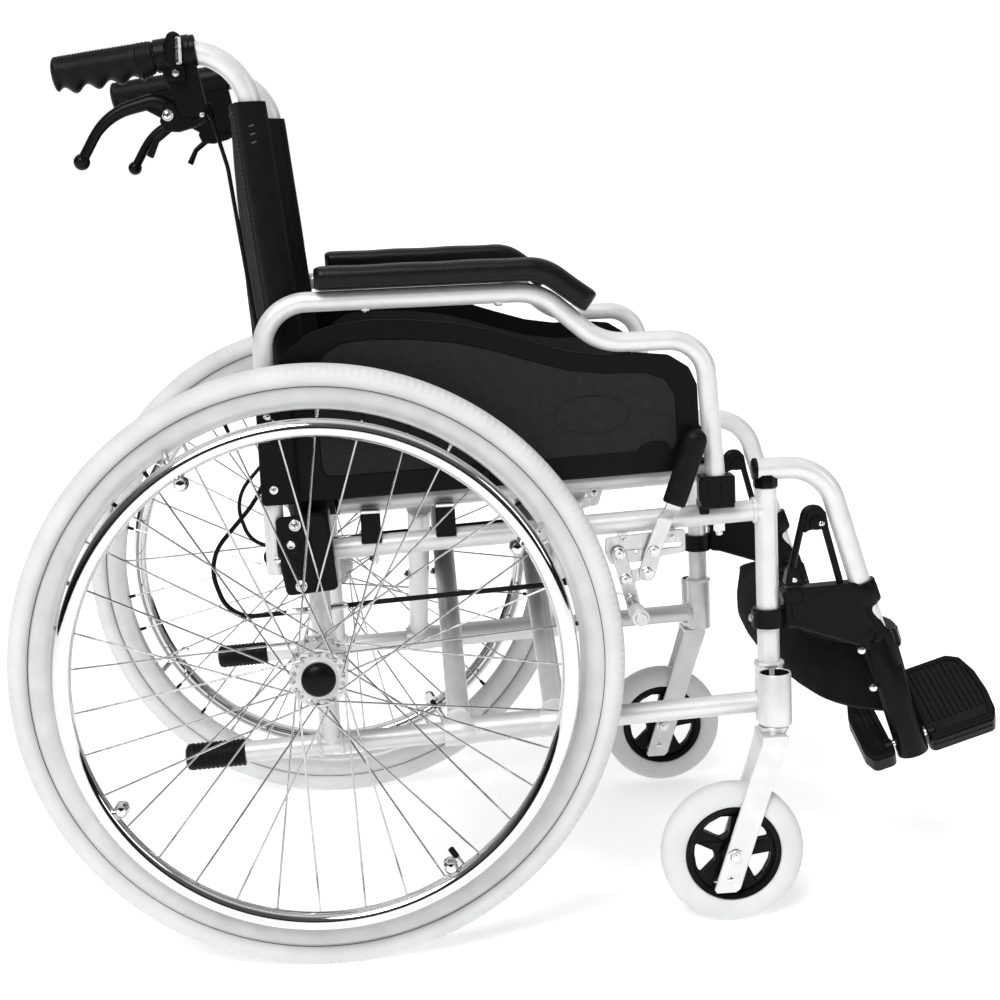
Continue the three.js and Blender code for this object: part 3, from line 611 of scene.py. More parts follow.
def side_frame(s):
    p = Piece("side_frame", s)
    y, body = s * FRAME_Y, "frame" + ("_right" if s < 0 else "_left")
    p.tube(cane_corners(y), TUBE_R, SILVER, 28)
    p.tube([V(-84, y, lower_z(-84)), V(UPRIGHT_X - 5, y, lower_z(UPRIGHT_X - 5))], TUBE_R, SILVER, 28)
    p.tube([V(4, y, upper_z(4)), V(UPRIGHT_X - 3, y, upper_z(UPRIGHT_X - 3))], TUBE_R, SILVER, 28)
    p.rod(V(UPRIGHT_X, y, 205), V(UPRIGHT_X, y, 453), TUBE_R + 0.6, SILVER, 28)
    # sleeve pressed over the upright's foot, and the caster housing welded to it
    p.rod(V(UPRIGHT_X, y, 205), V(UPRIGHT_X, y, 267), 14.6, SILVER, 28, 1.5)
    p.bead(V(UPRIGHT_X, y, 267.5), UP, 13.6, 2.4)
    hy = s * CASTER_Y
    cup = [(9.4, 209), (16.2, 209), (17, 210), (17, 263), (16.4, 264), (15.4, 264), (14.8, 263), (14.8, 246),
           (9.4, 246)]
    p.lathe(V(UPRIGHT_X, hy, 0), UP, cup, SILVER, 36, loop=True)
    # the dark disc and the dark lining inside the open housing are painted shade in its bore
    p.lathe(V(UPRIGHT_X, hy, 0), UP,
            [(0, 246.5), (14.9, 246.5), (14.9, 251.4), (13, 252), (9, 250.8), (0, 250.4)], MATTE_BLACK_AND_SHADE, 28)
    p.lathe(V(UPRIGHT_X, hy, 0), UP, [(14.9, 263.4), (14.9, 247), (14.0, 247), (14.0, 263.4)], MATTE_BLACK_AND_SHADE, 36,
            loop=True)
    p.block((UPRIGHT_X - 8, y, 214), (UPRIGHT_X + 8, s * 229, 256), SILVER, 2, 2)
    # welds where the rails meet the posts
    for z in (upper_z(454), lower_z(452)):
        p.bead(V(UPRIGHT_X - 12.2, y, z), V(1, 0, SLOPE), 11.2, 2.3)
    p.bead(V(16, y, upper_z(16)), V(1, 0, SLOPE), 11.2, 2.1)
    p.bead(V(16.5, y, lower_z(16.5)), V(1, 0, SLOPE), 11.2, 2.1)
    p.bead(V(-6.5, y, lower_z(-6.5)), V(1, 0, SLOPE), 11.2, 2.1)
    # receiver of the rear axle
    p.rod(V(0, y - s * 13, AXLE_Z), V(0, y + s * 24, AXLE_Z), 15, SILVER, 32, 1.5)
    p.bead(V(0, y, AXLE_Z + 13), UP, 11.4, 2.2)
    p.bead(V(2.6, y, AXLE_Z - 13), UP, 11.4, 2.2)
    # rubber tip of the tipping lever, ringed round
    tip = [(10, -84), (13.4, -84), (14, -85.5)]
    for k in range(11):
        x = -88 - 4.6 * k
        tip += [(14, x + 1.5), (13.3, x + 0.7), (13.3, x - 0.7), (14, x - 1.5)]
    tip += [(13.9, -139), (12.8, -142.5), (9.5, -144.6), (4, -145.4), (0, -145.5)]
    along = V(1, 0, SLOPE).normalized()
    p.lathe(V(0, y, lower_z(0)), along, tip[::-1], RUBBER, 28)
    return p.done(body, "silver_paint")


def grip(s):
    p = Piece("push_grip", s)
    y = s * FRAME_Y
    a, b = V(-127, y, 908.3), V(-226, y, 896)
    along = (b - a).normalized()
    up = (UP - along * along.z).normalized()
    side = along.cross(up)
    length = (b - a).length
    stations = 176
    n = 32
    rings = []
    for i in range(stations + 1):
        t = i / stations
        mm = t * length
        end = 1.0
        if mm > length - 5:
            end = sqrt(max(1 - ((mm - length + 5) / 5.6) ** 2, 0.05))
        if mm < 2:
            end = 0.92 + 0.04 * mm
        ring = []
        for j in range(n):
            a_ = 2 * pi * j / n
            c, q = cos(a_), sin(a_)
            r = 15.6
            if q > 0.25 and 22 < mm < 92:
                r += 0.42 * (1 if (mm / 2.8) % 1 < 0.5 else -0.6) * min((q - 0.25) * 2.5, 1)
            if q < 0:
                wave = 0.5 - 0.5 * cos(2 * pi * (mm - 12) / 22.5) if 12 < mm < 102 else 0.0
                r += (-q) ** 1.5 * (5.8 - 6.6 * wave) * min(mm / 14, 1) * (0.8 + 0.35 * t)
            if 5 < mm < 17 and (mm / 4.0) % 1 < 0.45:
                r += 0.55
            ring.append(a + along * mm + (side * c + up * q) * (r * end))
        rings.append(ring)
    p.shell(rings, RUBBER)
    return p.done("frame" + p.tag, "black_rubber")


def lever_bracket(s):
    p = Piece("attendant_lever_bracket", s)
    y = s * FRAME_Y
    # the collar round the handle
    p.tube([V(-90.5, y, 913.0), V(-126.5, y, 908.4)], 16.2, PLASTIC, 32, 1.6)
    p.tube([V(-86, y, 913.6), V(-92, y, 912.8)], 15.2, PLASTIC, 32, 0.8)
    # hood over the clamp screw, and the screw itself on the outside
    hood = [(-114.5, 897), (-116, 918), (-111, 929), (-105, 931), (-100, 928), (-97, 919), (-97.5, 897)]
    p.slab(hood, y + s * 7, y + s * 21, PLASTIC, 2.6, corner=5)
    p.slab([(-112, 884), (-97, 884), (-97, 899), (-112, 899)], y + s * 7, y + s * 19, PLASTIC, 1.6, corner=3)
    p.rod(V(-101.4, y + s * 20.4, 899), V(-101, y + s * 20.4, 925), 3.2, BOLT, 6, 1.0)
    p.lathe(V(-105.5, y + s * 18.4, 891), V(0, s, 0), [(4.3, 0), (4.3, 2), (3.4, 3.2), (1.4, 3.5)], BOLT, 6)
    # body down to the lever's pivot, with two recess lines drawn as thin dark matte tubes: painted shade in
    # the grooves
    body = [(-121, 905), (-90, 908), (-86, 896), (-79, 858), (-80, 849), (-92, 846), (-104, 848), (-109, 853),
            (-113, 872), (-118, 886)]
    p.slab(body, y - 9, y + 9, PLASTIC, 2.4, corner=5)
    for cx, cz, a0, a1 in ((-118, 879, -58, 52), (-81, 882, 128, 236)):
        path = [V(cx + 11 * cos(radians(a)), y + s * 9.0, cz + 14 * sin(radians(a)))
                for a in range(a0, a1, 6)]
        p.tube(path, 0.7, MATTE_BLACK_AND_SHADE, 8, 0.3)
    cheek = [(-122, 858), (-119, 864), (-111, 864), (-106, 852), (-92, 847), (-80, 852), (-79, 846),
            (-92, 840),
             (-108, 836), (-121, 837), (-125, 846)]
    for side in (-1, 1):
        p.slab(cheek, y + side * 6.2, y + side * 9.6, PLASTIC, 0.9, corner=3)
    p.bolt(V(LEVER_PIVOT[0], y + s * 9.6, LEVER_PIVOT[1]), V(0, s, 0), 4.2, kind="cross", height=2.0)
    p.bolt(V(-84, y + s * 9.0, 851), V(0, s, 0), 2.2, kind="cross", height=1.2)
    # parking catch, a small hooked trigger
    p.tube([(V(-116, y - s * 1, 840), 0), (V(-130, y - s * 1, 829), 8), (V(-138, y - s * 1, 813), 0)],
           lambda t: 3.4 - 0.9 * t + 1.3 * max(t - 0.75, 0) * 4, PLASTIC, 14)
    return p.done("frame" + p.tag, "black_plastic")


def attendant_lever(s):
    p = Piece("attendant_lever", s)
    y = s * FRAME_Y
    path = [(V(-107, y, 852), 0), (V(-126, y, 868), 20), (V(-178, y, 855), 62), (V(-203, y, 813), 0)]
    p.tube(path, lambda t: 8.6 - 3.4 * min(t * 1.3, 1), PLASTIC, 20, 0.8)
    web = [(-109, 849), (-123, 849), (-142, 860), (-150, 868), (-136, 872), (-124, 877), (-112, 879),
            (-108, 866)]
    p.slab(web, y - 3.8, y + 3.8, PLASTIC, 1.6, corner=5)
    p.ball(V(-204, y, 811), 8.1, PLASTIC, axis=OUT, n=28)
    return p.done("attendant_lever" + p.tag, "black_plastic")


def cable_corners(s):
    y = s * (FRAME_Y - 17)
    return [(V(-79, y, 858), 0), (V(-64, y, 800), 60), (V(-46, y, 640), 200), (V(-34, y, 490), 120),
            (V(-112, y, 405), 50), (V(-92, y, 343), 34), (V(-30, y, 346), 30), (V(60, y, 352), 200),
            (V(262, y, 361), 0)]


def brake_cable(s):
    p = Piece("brake_cable", s)
    y = s * (FRAME_Y - 17)
    corners = cable_corners(s)
    p.tube(rounded(corners, radians(5)), lambda t: 2.1 + 0.6 * min(max(t * 2.2 - 0.7, 0), 1), RUBBER, 14, 0.4)
    p.rod(V(-34, y, 345.9), V(-12, y, 347.0), 3.9, BOLT, 6, 0.6)
    p.lathe(V(-10, y, 347.2), V(1, 0, 0), [(0, -2), (5.2, -2), (5.6, -1), (5.6, 1.6), (5, 2.4), (0, 2.4)],
            BOLT, 24)
    p.rod(V(14, y, 348.9), V(30, y, 350), 3.6, BOLT, 18, 0.8)
    p.rod(V(258, y, 360.8), V(268, y, 361.2), 3.3, BOLT, 18, 0.6)
    p.tube([V(266, y, 361), V(290, s * (FRAME_Y + 2), 356), V(318, s * (LOCK_Y - 2), 350)], 0.9, BOLT, 10,
            0.2)
    p.rod(V(-80, y, 863), V(-76.6, y, 848), 4.0, PLASTIC, 18, 1.0, end=3.2)
    return p.done("frame" + p.tag, "black_rubber")


# ---- armrest -------------------------------------------------------------------------
def armrest_tube(s):
    p = Piece("armrest_tube", s)
    y = s * ARM_Y
    path = [(V(ARM_PIVOT[0], y, 396), 0), (V(-39, y, 666), 45), (V(236, y, 666), 60), (V(296, y, 612), 60),
            (V(400, y, 611), 38), (V(409, y, 466), 0)]
    p.tube(rounded(path, radians(5)), ARM_R, SILVER, 28)
    p.rod(V(ARM_PIVOT[0], s * 223, ARM_PIVOT[1]), V(ARM_PIVOT[0], y + s * 9, ARM_PIVOT[1]), 4.9, BOLT, 20)
    for x, z in ((64, 656), (196, 656)):
        p.lathe(V(x, y, z), V(0, 0, -1), [(0, -2), (4.4, -2), (4.4, 1), (3.2, 2.4), (0, 2.8)], BOLT, 20)
    return p.done("armrest" + p.tag, "silver_paint")


def arm_pad(s):
    """Stuffed vinyl pad: crowned on top, tucked to a flat base, with a sewn seam low on its sides."""
    p = Piece("arm_pad", s)
    y0, half = s * (227 + 264.5) / 2, 18.75
    spine = rounded([(V(15.5, 0, 688), 0), (V(240, 0, 688), 46), (V(287, 0, 652.5), 0)], radians(5))
    fine = []
    for a, b in zip(spine, spine[1:]):
        steps = max(1, int((b - a).length / 5))
        fine += [a.lerp(b, k / steps) for k in range(steps)]
    fine.append(spine[-1])
    reach = [0.0]
    for a, b in zip(fine, fine[1:]):
        reach.append(reach[-1] + (b - a).length)
    total, n, rings = reach[-1], 44, []
    # the ends are rounded over their last stretch, so they get closer stations
    marks = sorted(set([k * total / 64 for k in range(65)] + [8 * (1 - cos(pi * k / 16)) for k in range(9)]
                       + [total - 8 * (1 - cos(pi * k / 16)) for k in range(9)]))
    for mm in marks:
        i = max(j for j in range(len(reach)) if reach[j] <= mm + 1e-6)
        i = min(i, len(fine) - 2)
        at = fine[i].lerp(fine[i + 1], (mm - reach[i]) / max(reach[i + 1] - reach[i], 1e-6))
        ahead, behind = fine[min(i + 2, len(fine) - 1)], fine[max(i - 1, 0)]
        t = (ahead - behind).normalized()
        up = Vector((-t.z, 0, t.x))
        edge = min(mm, total - mm)
        taper = sqrt(max(1 - ((8.0 - edge) / 8.0) ** 2, 0.0)) if edge < 8 else 1.0
        taper = 0.42 + 0.58 * taper
        ring = []
        for j in range(n):
            a = 2 * pi * j / n
            c, q = cos(a), sin(a)
            w = copysign(abs(c) ** 0.62, c) * half * taper
            if q >= 0:
                h = q ** 0.72 * 12.4 * (0.5 + 0.5 * taper)
                h += 0.35 * sin(mm * 0.09) * q
            else:
                h = -(abs(q) ** 0.4) * 11.4 * (0.62 + 0.38 * taper)
            seam = abs(h + 5.6)
            if seam < 1.7:
                w *= 1 - 0.05 * (1 - seam / 1.7)
            ring.append(at + Vector((0, y0 + w, 0)) + up * h)
        rings.append(ring)
    p.shell(rings, VINYL)
    obj = p.done("armrest" + p.tag, "pad_vinyl")
    swell(obj)
    return obj


def swell(obj):
    """One subdivision, so that the pad's curves are even."""
    modifier = obj.modifiers.new("even", "SUBSURF")
    modifier.levels = modifier.render_levels = 1
    with bpy.context.temp_override(object=obj, active_object=obj, selected_objects=[obj]):
        bpy.ops.object.modifier_apply(modifier=modifier.name)


PANEL_OUTLINE = [(-47, 466), (394, 480), (392, 566), (384, 584), (364, 597), (330, 601), (296, 600),
                 (260, 606), (222, 618), (190, 629), (150, 639), (110, 644), (68, 646), (34, 643),
                 (8, 636), (-14, 620), (-29, 600), (-47, 592)]


def side_panel(s):
    p = Piece("side_panel", s)
    y = s * ARM_Y
    outline = soft2(PANEL_OUTLINE, 9)
    if area2(outline) < 0:
        outline = outline[::-1]
    field = [(14, 492), (370, 503), (369, 556), (360, 572), (340, 580), (300, 581), (262, 586), (222, 598),
             (186, 610), (150, 619), (110, 624), (68, 626), (40, 624), (22, 614), (10, 596)]
    field = soft2(field, 10)
    if area2(field) < 0:
        field = field[::-1]
    panel_half, sunk = 3.6, 1.1
    for side in (s, -s):
        face = y + side * panel_half
        p.slab(outline, y, face, PANEL_EDGE, 1.2, holes=[field])
        p.slab(inset2(field, -0.6), y, face - side * sunk, PANEL, 0)
    oval = [(285 + 38.5 * cos(2 * pi * k / 64), 541 + 20 * sin(2 * pi * k / 64)) for k in range(64)]
    p.slab(oval, y, y + s * 3.3, PANEL, 0.3, holes=[inset2(oval, 1.3)])
    notch = [(330, 490), (362, 491), (362, 511), (344, 511), (334, 508), (329, 500)]
    p.slab(notch, y, y + s * 3.9, PANEL_EDGE, 1.0, corner=8)
    # the rear border bulges out and over the armrest's rear leg
    rear = [(-48.5, 467), (-14, 468), (-14, 612), (-27, 600), (-48.5, 592)]
    p.slab(rear, y + s * 11.2, y + s * 14.4, PANEL_EDGE, 1.4, corner=5)
    p.slab([(-26.5, 468), (-12, 469), (-12, 612), (-26.5, 599)], y, y + s * 13.6, PANEL_EDGE, 2.4, corner=3)
    for x, z in ((-37, 557), (-35.5, 483)):
        p.bolt(V(x, y + s * 14.4, z), V(0, s, 0), 3.4, kind="cross", height=1.2)
    return p.done("armrest" + p.tag, "black_plastic")


def pivot_plate(s):
    """Black block that wraps the cane and carries the armrest's pin."""
    p = Piece("armrest_pivot_plate", s)
    y = s * FRAME_Y
    face = [(-36, 455), (16, 458), (22.5, 379), (-29, 375), (-36, 420)]
    top = y + s * 40.4
    p.slab(face, y + s * 36.6, top, PLASTIC, 1.8, corner=6)
    # the body round the cane stands clear of the armrest's tube, which swings behind the face
    wrap = [(-14, 456), (16, 458), (22.5, 379), (-11, 377)]
    p.slab(wrap, y - s * 13.5, y + s * 38, PLASTIC, 3, corner=4)
    p.slab([(-6, 455), (14, 457), (20, 391), (0, 389)], y + s * 37, top + s * 1.6, PLASTIC, 1.5, corner=5)
    p.slab([(-34, 449), (15, 452), (22, 378), (-30, 375), (-35, 396), (-46, 403), (-49, 411), (-46, 420),
            (-36, 424)],
           y + s * 11.4, y + s * 14.6, PLASTIC, 1.0, corner=4)
    for x, z in ((-17, 446.5), (-14, 384.5)):
        p.bolt(V(x, top, z), V(0, s, 0), 4.6, kind="cross", height=2.6)
    for x, z, stuff in ((-22, 427, BOLT), (-20, 402, MATTE_BLACK_AND_SHADE)):
        at = V(x, top, z)
        p.lathe(at, V(0, s, 0),
                [(10, -1), (10, 0.9), (9.2, 1.5), (8.4, 0.9), (8.2, -0.2), (4.5, -0.4), (4.5, -1)],
                PLASTIC, 32, loop=True)
        p.lathe(at, V(0, s, 0), [(0, -1), (4.2, -1), (4.2, 0.6), (3.2, 1.3), (1.6, 1.0), (0, 0.9)], stuff, 20)
    p.lathe(V(-36, top - s * 3, 412), V(0, s, 0), [(0, -1), (3.6, -1), (3.6, 2.4), (2.4, 3.4), (0, 3.6)],
            BOLT, 18)
    knob = [(0, -3), (9, -3), (9.4, 3), (8.2, 6), (5, 8.4), (0, 9)]
    p.lathe(V(-42.5, y + s * 12, 410.5), V(0, -s, 0), knob, PLASTIC, 28)
    return p.done("frame" + p.tag, "black_plastic")


def arm_socket(s):
    p = Piece("armrest_socket", s)
    y = s * ARM_Y
    outer = [(391, -12.5), (427, -12.5), (427, 12.5), (391, 12.5)]
    bore = circle2(409, 0, 11.2, 28)
    loop = soft2(outer, 3)
    p.slab(loop, 444, 473, PLASTIC, 1.2, holes=[bore], place=lambda u, v, w: V(u, y + v, w))
    p.block((392, y - 12, 440), (426, y + 12, 446), PLASTIC, 1.2, 2)
    p.block((398, s * 214, 440.2), (420, y, 445.6), PLASTIC, 1.2, 2)
    p.block((389.4, y + s * 9, 448), (399, y + s * 13.4, 470), PLASTIC, 1.0, 2)
    p.block((411, y + s * 10, 447), (426, y + s * 13.2, 468), PLASTIC, 1.0, 2)
    p.block((394, s * 206, 430), (404, s * 229, 444), PLASTIC, 1.2, 2)
    for x, z in ((416, 413.5),):
        p.rod(V(x, s * FRAME_Y, z + 6), V(x, s * FRAME_Y, z - 4), 6.2, BOLT, 6, 1)
        p.rod(V(x, s * FRAME_Y, z - 3), V(x, s * FRAME_Y, z - 8), 3.4, BOLT, 18, 0.8)
    return p.done("frame" + p.tag, "black_plastic")


def arm_latch(s):
    p = Piece("armrest_latch", s)
    y = s * (ARM_Y - 12.5 - 0.35 - 2.5)
    outline = [(407, 449), (420, 449), (424, 462), (418, 478), (420, 492), (413, 496), (409, 492), (407, 476),
               (405, 462)]
    p.slab(outline, y - 2, y + 2, PLASTIC, 0.7, corner=3)
    p.bolt(V(414, y - s * 2, 455), V(0, -s, 0), 3.0, kind="cross", height=1.6)
    p.rod(V(416, y, 489), V(416, y - s * 9, 491), 4.2, PLASTIC, 18, 1.2)
    return p.done("armrest_latch" + p.tag, "black_plastic")


def saddle(s):
    p = Piece("seat_saddle", s)
    for x, nut in ((58, True), (134, False)):
        top = upper_z(x) + TUBE_R
        a, b = s * (SEAT_Y + TUBE_R - 2), s * (FRAME_Y + 12.5)
        loop = [(x - 10.5, top - 7), (x + 10.5, top - 7), (x + 9.5, seat_z(x) - 5), (x - 9.5, seat_z(x) - 5)]
        p.slab(loop, s * (FRAME_Y + 9.4), b, PLASTIC, 1.0, corner=2)
        p.block((x - 10, a + s * 2, top + 0.4), (x + 10, b - s, seat_z(x) - 6), PLASTIC, 1.4, 2)
        p.block((x - 10, b - s * 3, seat_z(x) - 8), (x + 10, b + s * 0.4, seat_z(x) - 4.4), BOLT, 0.6, 1)
        if nut:
            z = upper_z(x + 2) - TUBE_R
            p.rod(V(x + 2, s * FRAME_Y, z + 2), V(x + 2, s * FRAME_Y, z - 5), 6.0, BOLT, 6, 1)
            p.rod(V(x + 2, s * FRAME_Y, z - 4), V(x + 2, s * FRAME_Y, z - 9), 3.2, BOLT, 18, 0.8)
    return p.done("frame" + p.tag, "black_plastic")


# ---- wheels --------------------------------------------------------------------------
FLANGE = 33.0
SPOKES = 36


def rear_wheel(s):
    p = Piece("rear_wheel", s)
    c = V(0, s * WHEEL_Y, AXLE_Z)
    hub = [(7, -37), (12, -37), (13, -36), (13, -31), (14, -28), (12.4, -20), (12.4, 20), (14, 28), (13, 31),
           (13, 36), (12, 37), (7, 37)]
    p.lathe(c, OUT, hub, ALLOY, 40, loop=True)

    def on_disc(level):
        return lambda u, v, w: c + V(u, w + level, v)

    for side in (-1, 1):
        holes = [circle2(24.3 * cos(2 * pi * (k + (0.25 if side < 0 else 0)) / 18),
                         24.3 * sin(2 * pi * (k + (0.25 if side < 0 else 0)) / 18), 1.9,
                                 10) for k in range(18)]
        p.slab(circle2(0, 0, 29, 72), -1.7, 1.7, ALLOY, 0.6, holes=[circle2(0, 0, 12.8, 36), *holes],
               place=on_disc(side * FLANGE))
        p.lathe(c, OUT, [(13, side * 33), (19, side * 34.4), (19.4, side * 35.2), (18, side * 36.6),
                         (12.4, side * 37.4), (12.4, side * 33)], ALLOY, 40, loop=True)
    # double-wall rim: brake track, inner well and the crown that the spokes pull on
    rim = [(260.6, -6), (262, -9.5), (266, -11.6), (281.6, -12.6), (283, -12.2), (283.4, -10.6), (281, -9.4),
           (274, -8), (272, 0), (274, 8), (281, 9.4), (283.4, 10.6), (283, 12.2), (281.6, 12.6), (266, 11.6),
           (262, 9.5), (260.6, 6), (260, 0)]
    p.lathe(c, OUT, rim, ALLOY, 180, loop=True)
    for i in range(SPOKES):
        on_rim = 2 * pi * i / SPOKES + 0.05
        side = 1 if i % 2 else -1
        pair = (i // 2) % 2
        on_hub = on_rim + radians(58 if pair else -58)
        inside = side * (FLANGE + (2.4 if pair else -2.4))
        root = c + V(24.3 * sin(on_hub), inside, 24.3 * cos(on_hub))
        tip = c + V(262 * sin(on_rim), side * 2.6, 262 * cos(on_rim))
        along = (tip - root).normalized()
        p.rod(root - along * 1.5, tip, 1.1, SPOKE, 8, 0.1)
        p.rod(tip - along * 9.5, tip + along * 1.0, 1.9, MATTE_BLACK_AND_SHADE if i % 3 else BOLT, 10, 0.5, end=2.2)
        p.lathe(root, V(0, -1 if pair == 0 else 1, 0) * side,
                [(0, -1), (1.7, -1), (1.9, 0.2), (1.2, 1.3), (0, 1.5)],
                SPOKE, 10)
    # valve
    a = radians(-58)
    out = V(cos(a), 0, sin(a))
    p.rod(c + out * 262, c + out * 236, 2.7, BOLT, 14, 0.6)
    p.rod(c + out * 240, c + out * 228, 3.3, RUBBER, 14, 0.8)
    return p.done("rear_wheel" + p.tag, "alloy")


def tyre(s):
    """Solid light tyre: smooth crown and sidewall, finely ribbed shoulders, and a dark ring of painted shade
    where it sits on the rim.
    """
    p = Piece("tyre", s)
    c = V(0, s * WHEEL_Y, AXLE_Z)
    segs = 960
    profile = [(281.2, -11.4, 0), (283.6, -13.6, 0), (284.6, -15.0, 0), (286, -16.4, 0), (289, -17.7, 0),
               (292.5, -17.7, 0), (295, -17.0, 0), (299.4, -14.6, 1), (302.0, -12.2, 1), (303.4, -9.6, 1),
               (304.2, -6.4, 0), (304.8, -3, 0), (305, 0, 0)]
    profile += [(r, -y, k) for r, y, k in reversed(profile[:-1])]
    rings = []
    for r, y, k in profile:
        ring = []
        for j in range(segs):
            a = 2 * pi * j / segs
            low = k and j % 4 > 1
            rr = r - (0.9 if low else 0)
            yy = y * (1 - (0.03 if low else 0))
            ring.append(c + V(rr * cos(a), yy, rr * sin(a)))
        rings.append(ring)
    p.shell(rings, TYRE, loop=True)
    # a thin dark ring at each seam of tyre and rim: painted shade in that crevice
    for side in (-1, 1):
        line = [(283.05, side * 13.6), (283.5, side * 14.0), (283.3, side * 14.3), (282.85, side * 13.9)]
        p.lathe(c, OUT, line, PANEL, 240, loop=True)
    return p.done("rear_wheel" + p.tag, "light_tyre")


def handrim(s):
    p = Piece("handrim", s)
    c = V(0, s * HANDRIM_Y, AXLE_Z)
    r = 9.3
    p.lathe(c, OUT, [(HANDRIM_R + r * cos(2 * pi * k / 24), r * sin(2 * pi * k / 24)) for k in range(24)],
            CHROME, 216, loop=True)
    for angle in (31, 121, 211, 301):
        a = radians(angle)
        out = V(cos(a), 0, sin(a))
        foot = V(0, s * (WHEEL_Y + 9), AXLE_Z) + out * 264
        knee = V(0, s * (HANDRIM_Y - 6), AXLE_Z) + out * 256
        seat = V(0, s * (HANDRIM_Y - 3), AXLE_Z) + out * 240
        p.tube([(foot, 0), (knee, 6), (seat, 0)], 3.6, CHROME, 16, 0.6)
        p.lathe(c + out * 231.5, V(0, s, 0),
                [(0, -8), (7.4, -8), (7.6, -1), (7.0, 3.4), (4.6, 6.4), (0, 7.6)],
                CHROME, 28)
        p.tube([c + out * 240 - V(0, s * 3, 0), c + out * 230 - V(0, s * 3, 0)], 4.4, CHROME, 16, 0.5)
    return p.done("rear_wheel" + p.tag, "chrome")


def axle(s):
    p = Piece("quick_release_axle", s)
    c = V(0, 0, AXLE_Z)
    p.rod(c + V(0, s * (FRAME_Y - 22), 0), c + V(0, s * 318, 0), 6.3, STEEL, 24, 1)
    p.lathe(c + V(0, s * (FRAME_Y - 15), 0), V(0, -s, 0),
            [(0, -2), (11, -2), (11.4, -1), (11.4, 4), (10, 5), (0, 5)],
            BOLT, 6)
    cap = [(0, 0), (16.4, 0), (17, 1.2), (17, 4.4), (15.6, 7.6), (12.4, 9.8), (7, 11.2), (0, 11.7)]
    p.lathe(c + V(0, s * 319.4, 0), V(0, s, 0), cap, PLASTIC, 48)
    return p.done("frame" + p.tag, "steel")


def caster_fork(s):
    p = Piece("caster_fork", s)
    y = s * CASTER_Y
    half, thick, edge = 13.5, 4.2, 0.8
    # the two legs: each is set out wide at the crown, steps in below it and ends in a flat foot
    for side in (-1, 1):
        rings = []
        stations = [(460.5, 201, 18.6), (460.2, 196, 18.6), (459.4, 192.5, 18.4), (450.2, 164.5, 14.8),
                    (448.8, 161, 14.6)]
        foot = [(448.8 + (407.6 - 448.8) * t, 161 + (39 - 161) * t, 14.6) for t in (0.3, 0.6, 1.0)]
        for x, z, off in stations + foot + [(406.4, 35.8, 14.6)]:
            w = half - (3.2 if z < 38 else 0)
            o = y + side * off
            rings.append([V(x - w + edge, o, z), V(x + w - edge, o, z), V(x + w, o + side * edge, z),
                          V(x + w, o + side * (thick - edge), z), V(x + w - edge, o + side * thick, z),
                          V(x - w + edge, o + side * thick, z), V(x - w, o + side * (thick - edge), z),
                          V(x - w, o + side * edge, z)])
        p.shell(rings, SILVER)
    p.slab([(447, -22.6), (474, -22.6), (474, 22.6), (447, 22.6)], 196.6, 201.2, SILVER, 1.2, corner=3,
           place=lambda u, v, w: V(u, y + v, w))
    p.lathe(V(UPRIGHT_X - 2, y, 0), UP, [(0, 200.6), (13.4, 200.6), (13.8, 201.6), (13.8, 204), (15.4, 204.6),
                                     (15.8, 205.6), (15.8, 207.6), (15, 208.5), (0, 208.5)], STEEL, 36)
    p.rod(V(UPRIGHT_X, y, 199), V(UPRIGHT_X, y, 244), 7.9, STEEL, 24)
    p.rod(V(CASTER_X, y - 18, CASTER_R), V(CASTER_X, y + 18, CASTER_R), 5, STEEL, 20)
    for side in (-1, 1):
        out = V(0, side, 0)
        p.bolt(V(CASTER_X, y + side * 18.8, CASTER_R), out, 6.2, kind="hex", height=4.6)
        p.lathe(V(410.4, y + side * 18.8, 50), out,
                [(0, -0.6), (3.6, -0.6), (3.5, 1.0), (2.2, 2.0), (0, 2.2)], BOLT, 20)
    return p.done("caster_fork" + p.tag, "silver_paint")


def caster_wheel(s):
    p = Piece("caster_wheel", s)
    c = V(CASTER_X, s * CASTER_Y, CASTER_R)
    ring = [(49.6, -9), (51, -12.4), (53, -13.6), (57, -14), (64, -13.6), (69.6, -11.6), (73.2, -8.2),
            (74.7, -4),
            (75, 0)]
    ring += [(r, -h) for r, h in reversed(ring[:-1])]
    p.lathe(c, OUT, ring, TYRE, 128, loop=True)
    p.lathe(c, OUT, [(43.4, -8.6), (44.4, -10.2), (48.6, -11.6), (50.8, -10.6), (50.8, 10.6), (48.6, 11.6),
                     (44.4, 10.2), (43.4, 8.6)], PLASTIC, 96, loop=True)
    p.lathe(c, OUT,
            [(5.3, -14.6), (11, -14.6), (12.4, -13.4), (14.6, -8), (14.6, 8), (12.4, 13.4), (11, 14.6),
                     (5.3, 14.6)], PLASTIC, 40, loop=True)
    windows = []
    for k in range(5):
        mid = radians(-28 + 72 * k)
        inner, outer = 20.0, 40.5
        bar = 7.6
        loop = []
        for r, sign in ((inner, -1), (outer, -1), (outer, 1), (inner, 1)):
            spread = radians(36) - bar / r
            steps = [sign * spread] if r == inner else [sign * spread * q for q in (1.0, 0.72, 0.36)]
            if sign > 0:
                steps = steps[::-1]
            loop += [(r * cos(mid + a), r * sin(mid + a)) for a in steps]
        windows.append(soft2(loop, 4.5))
    for half in (-1, 1):
        p.slab(circle2(0, 0, 45, 96), 0, half * 6.4, PLASTIC, 1.2, holes=[circle2(0, 0, 12, 32), *windows],
               place=lambda u, v, w: c + V(u, w, v))
    return p.done("caster_wheel" + p.tag, "black_plastic")


# ---- wheel lock ----------------------------------------------------------------------
LOCK_LEVER, LOCK_LOW = (344, 397.5), (337, 374.5)
LOCK_ARM, LOCK_MID, LOCK_END = (308.5, 395.5), (314.5, 368.5), (319.5, 348)


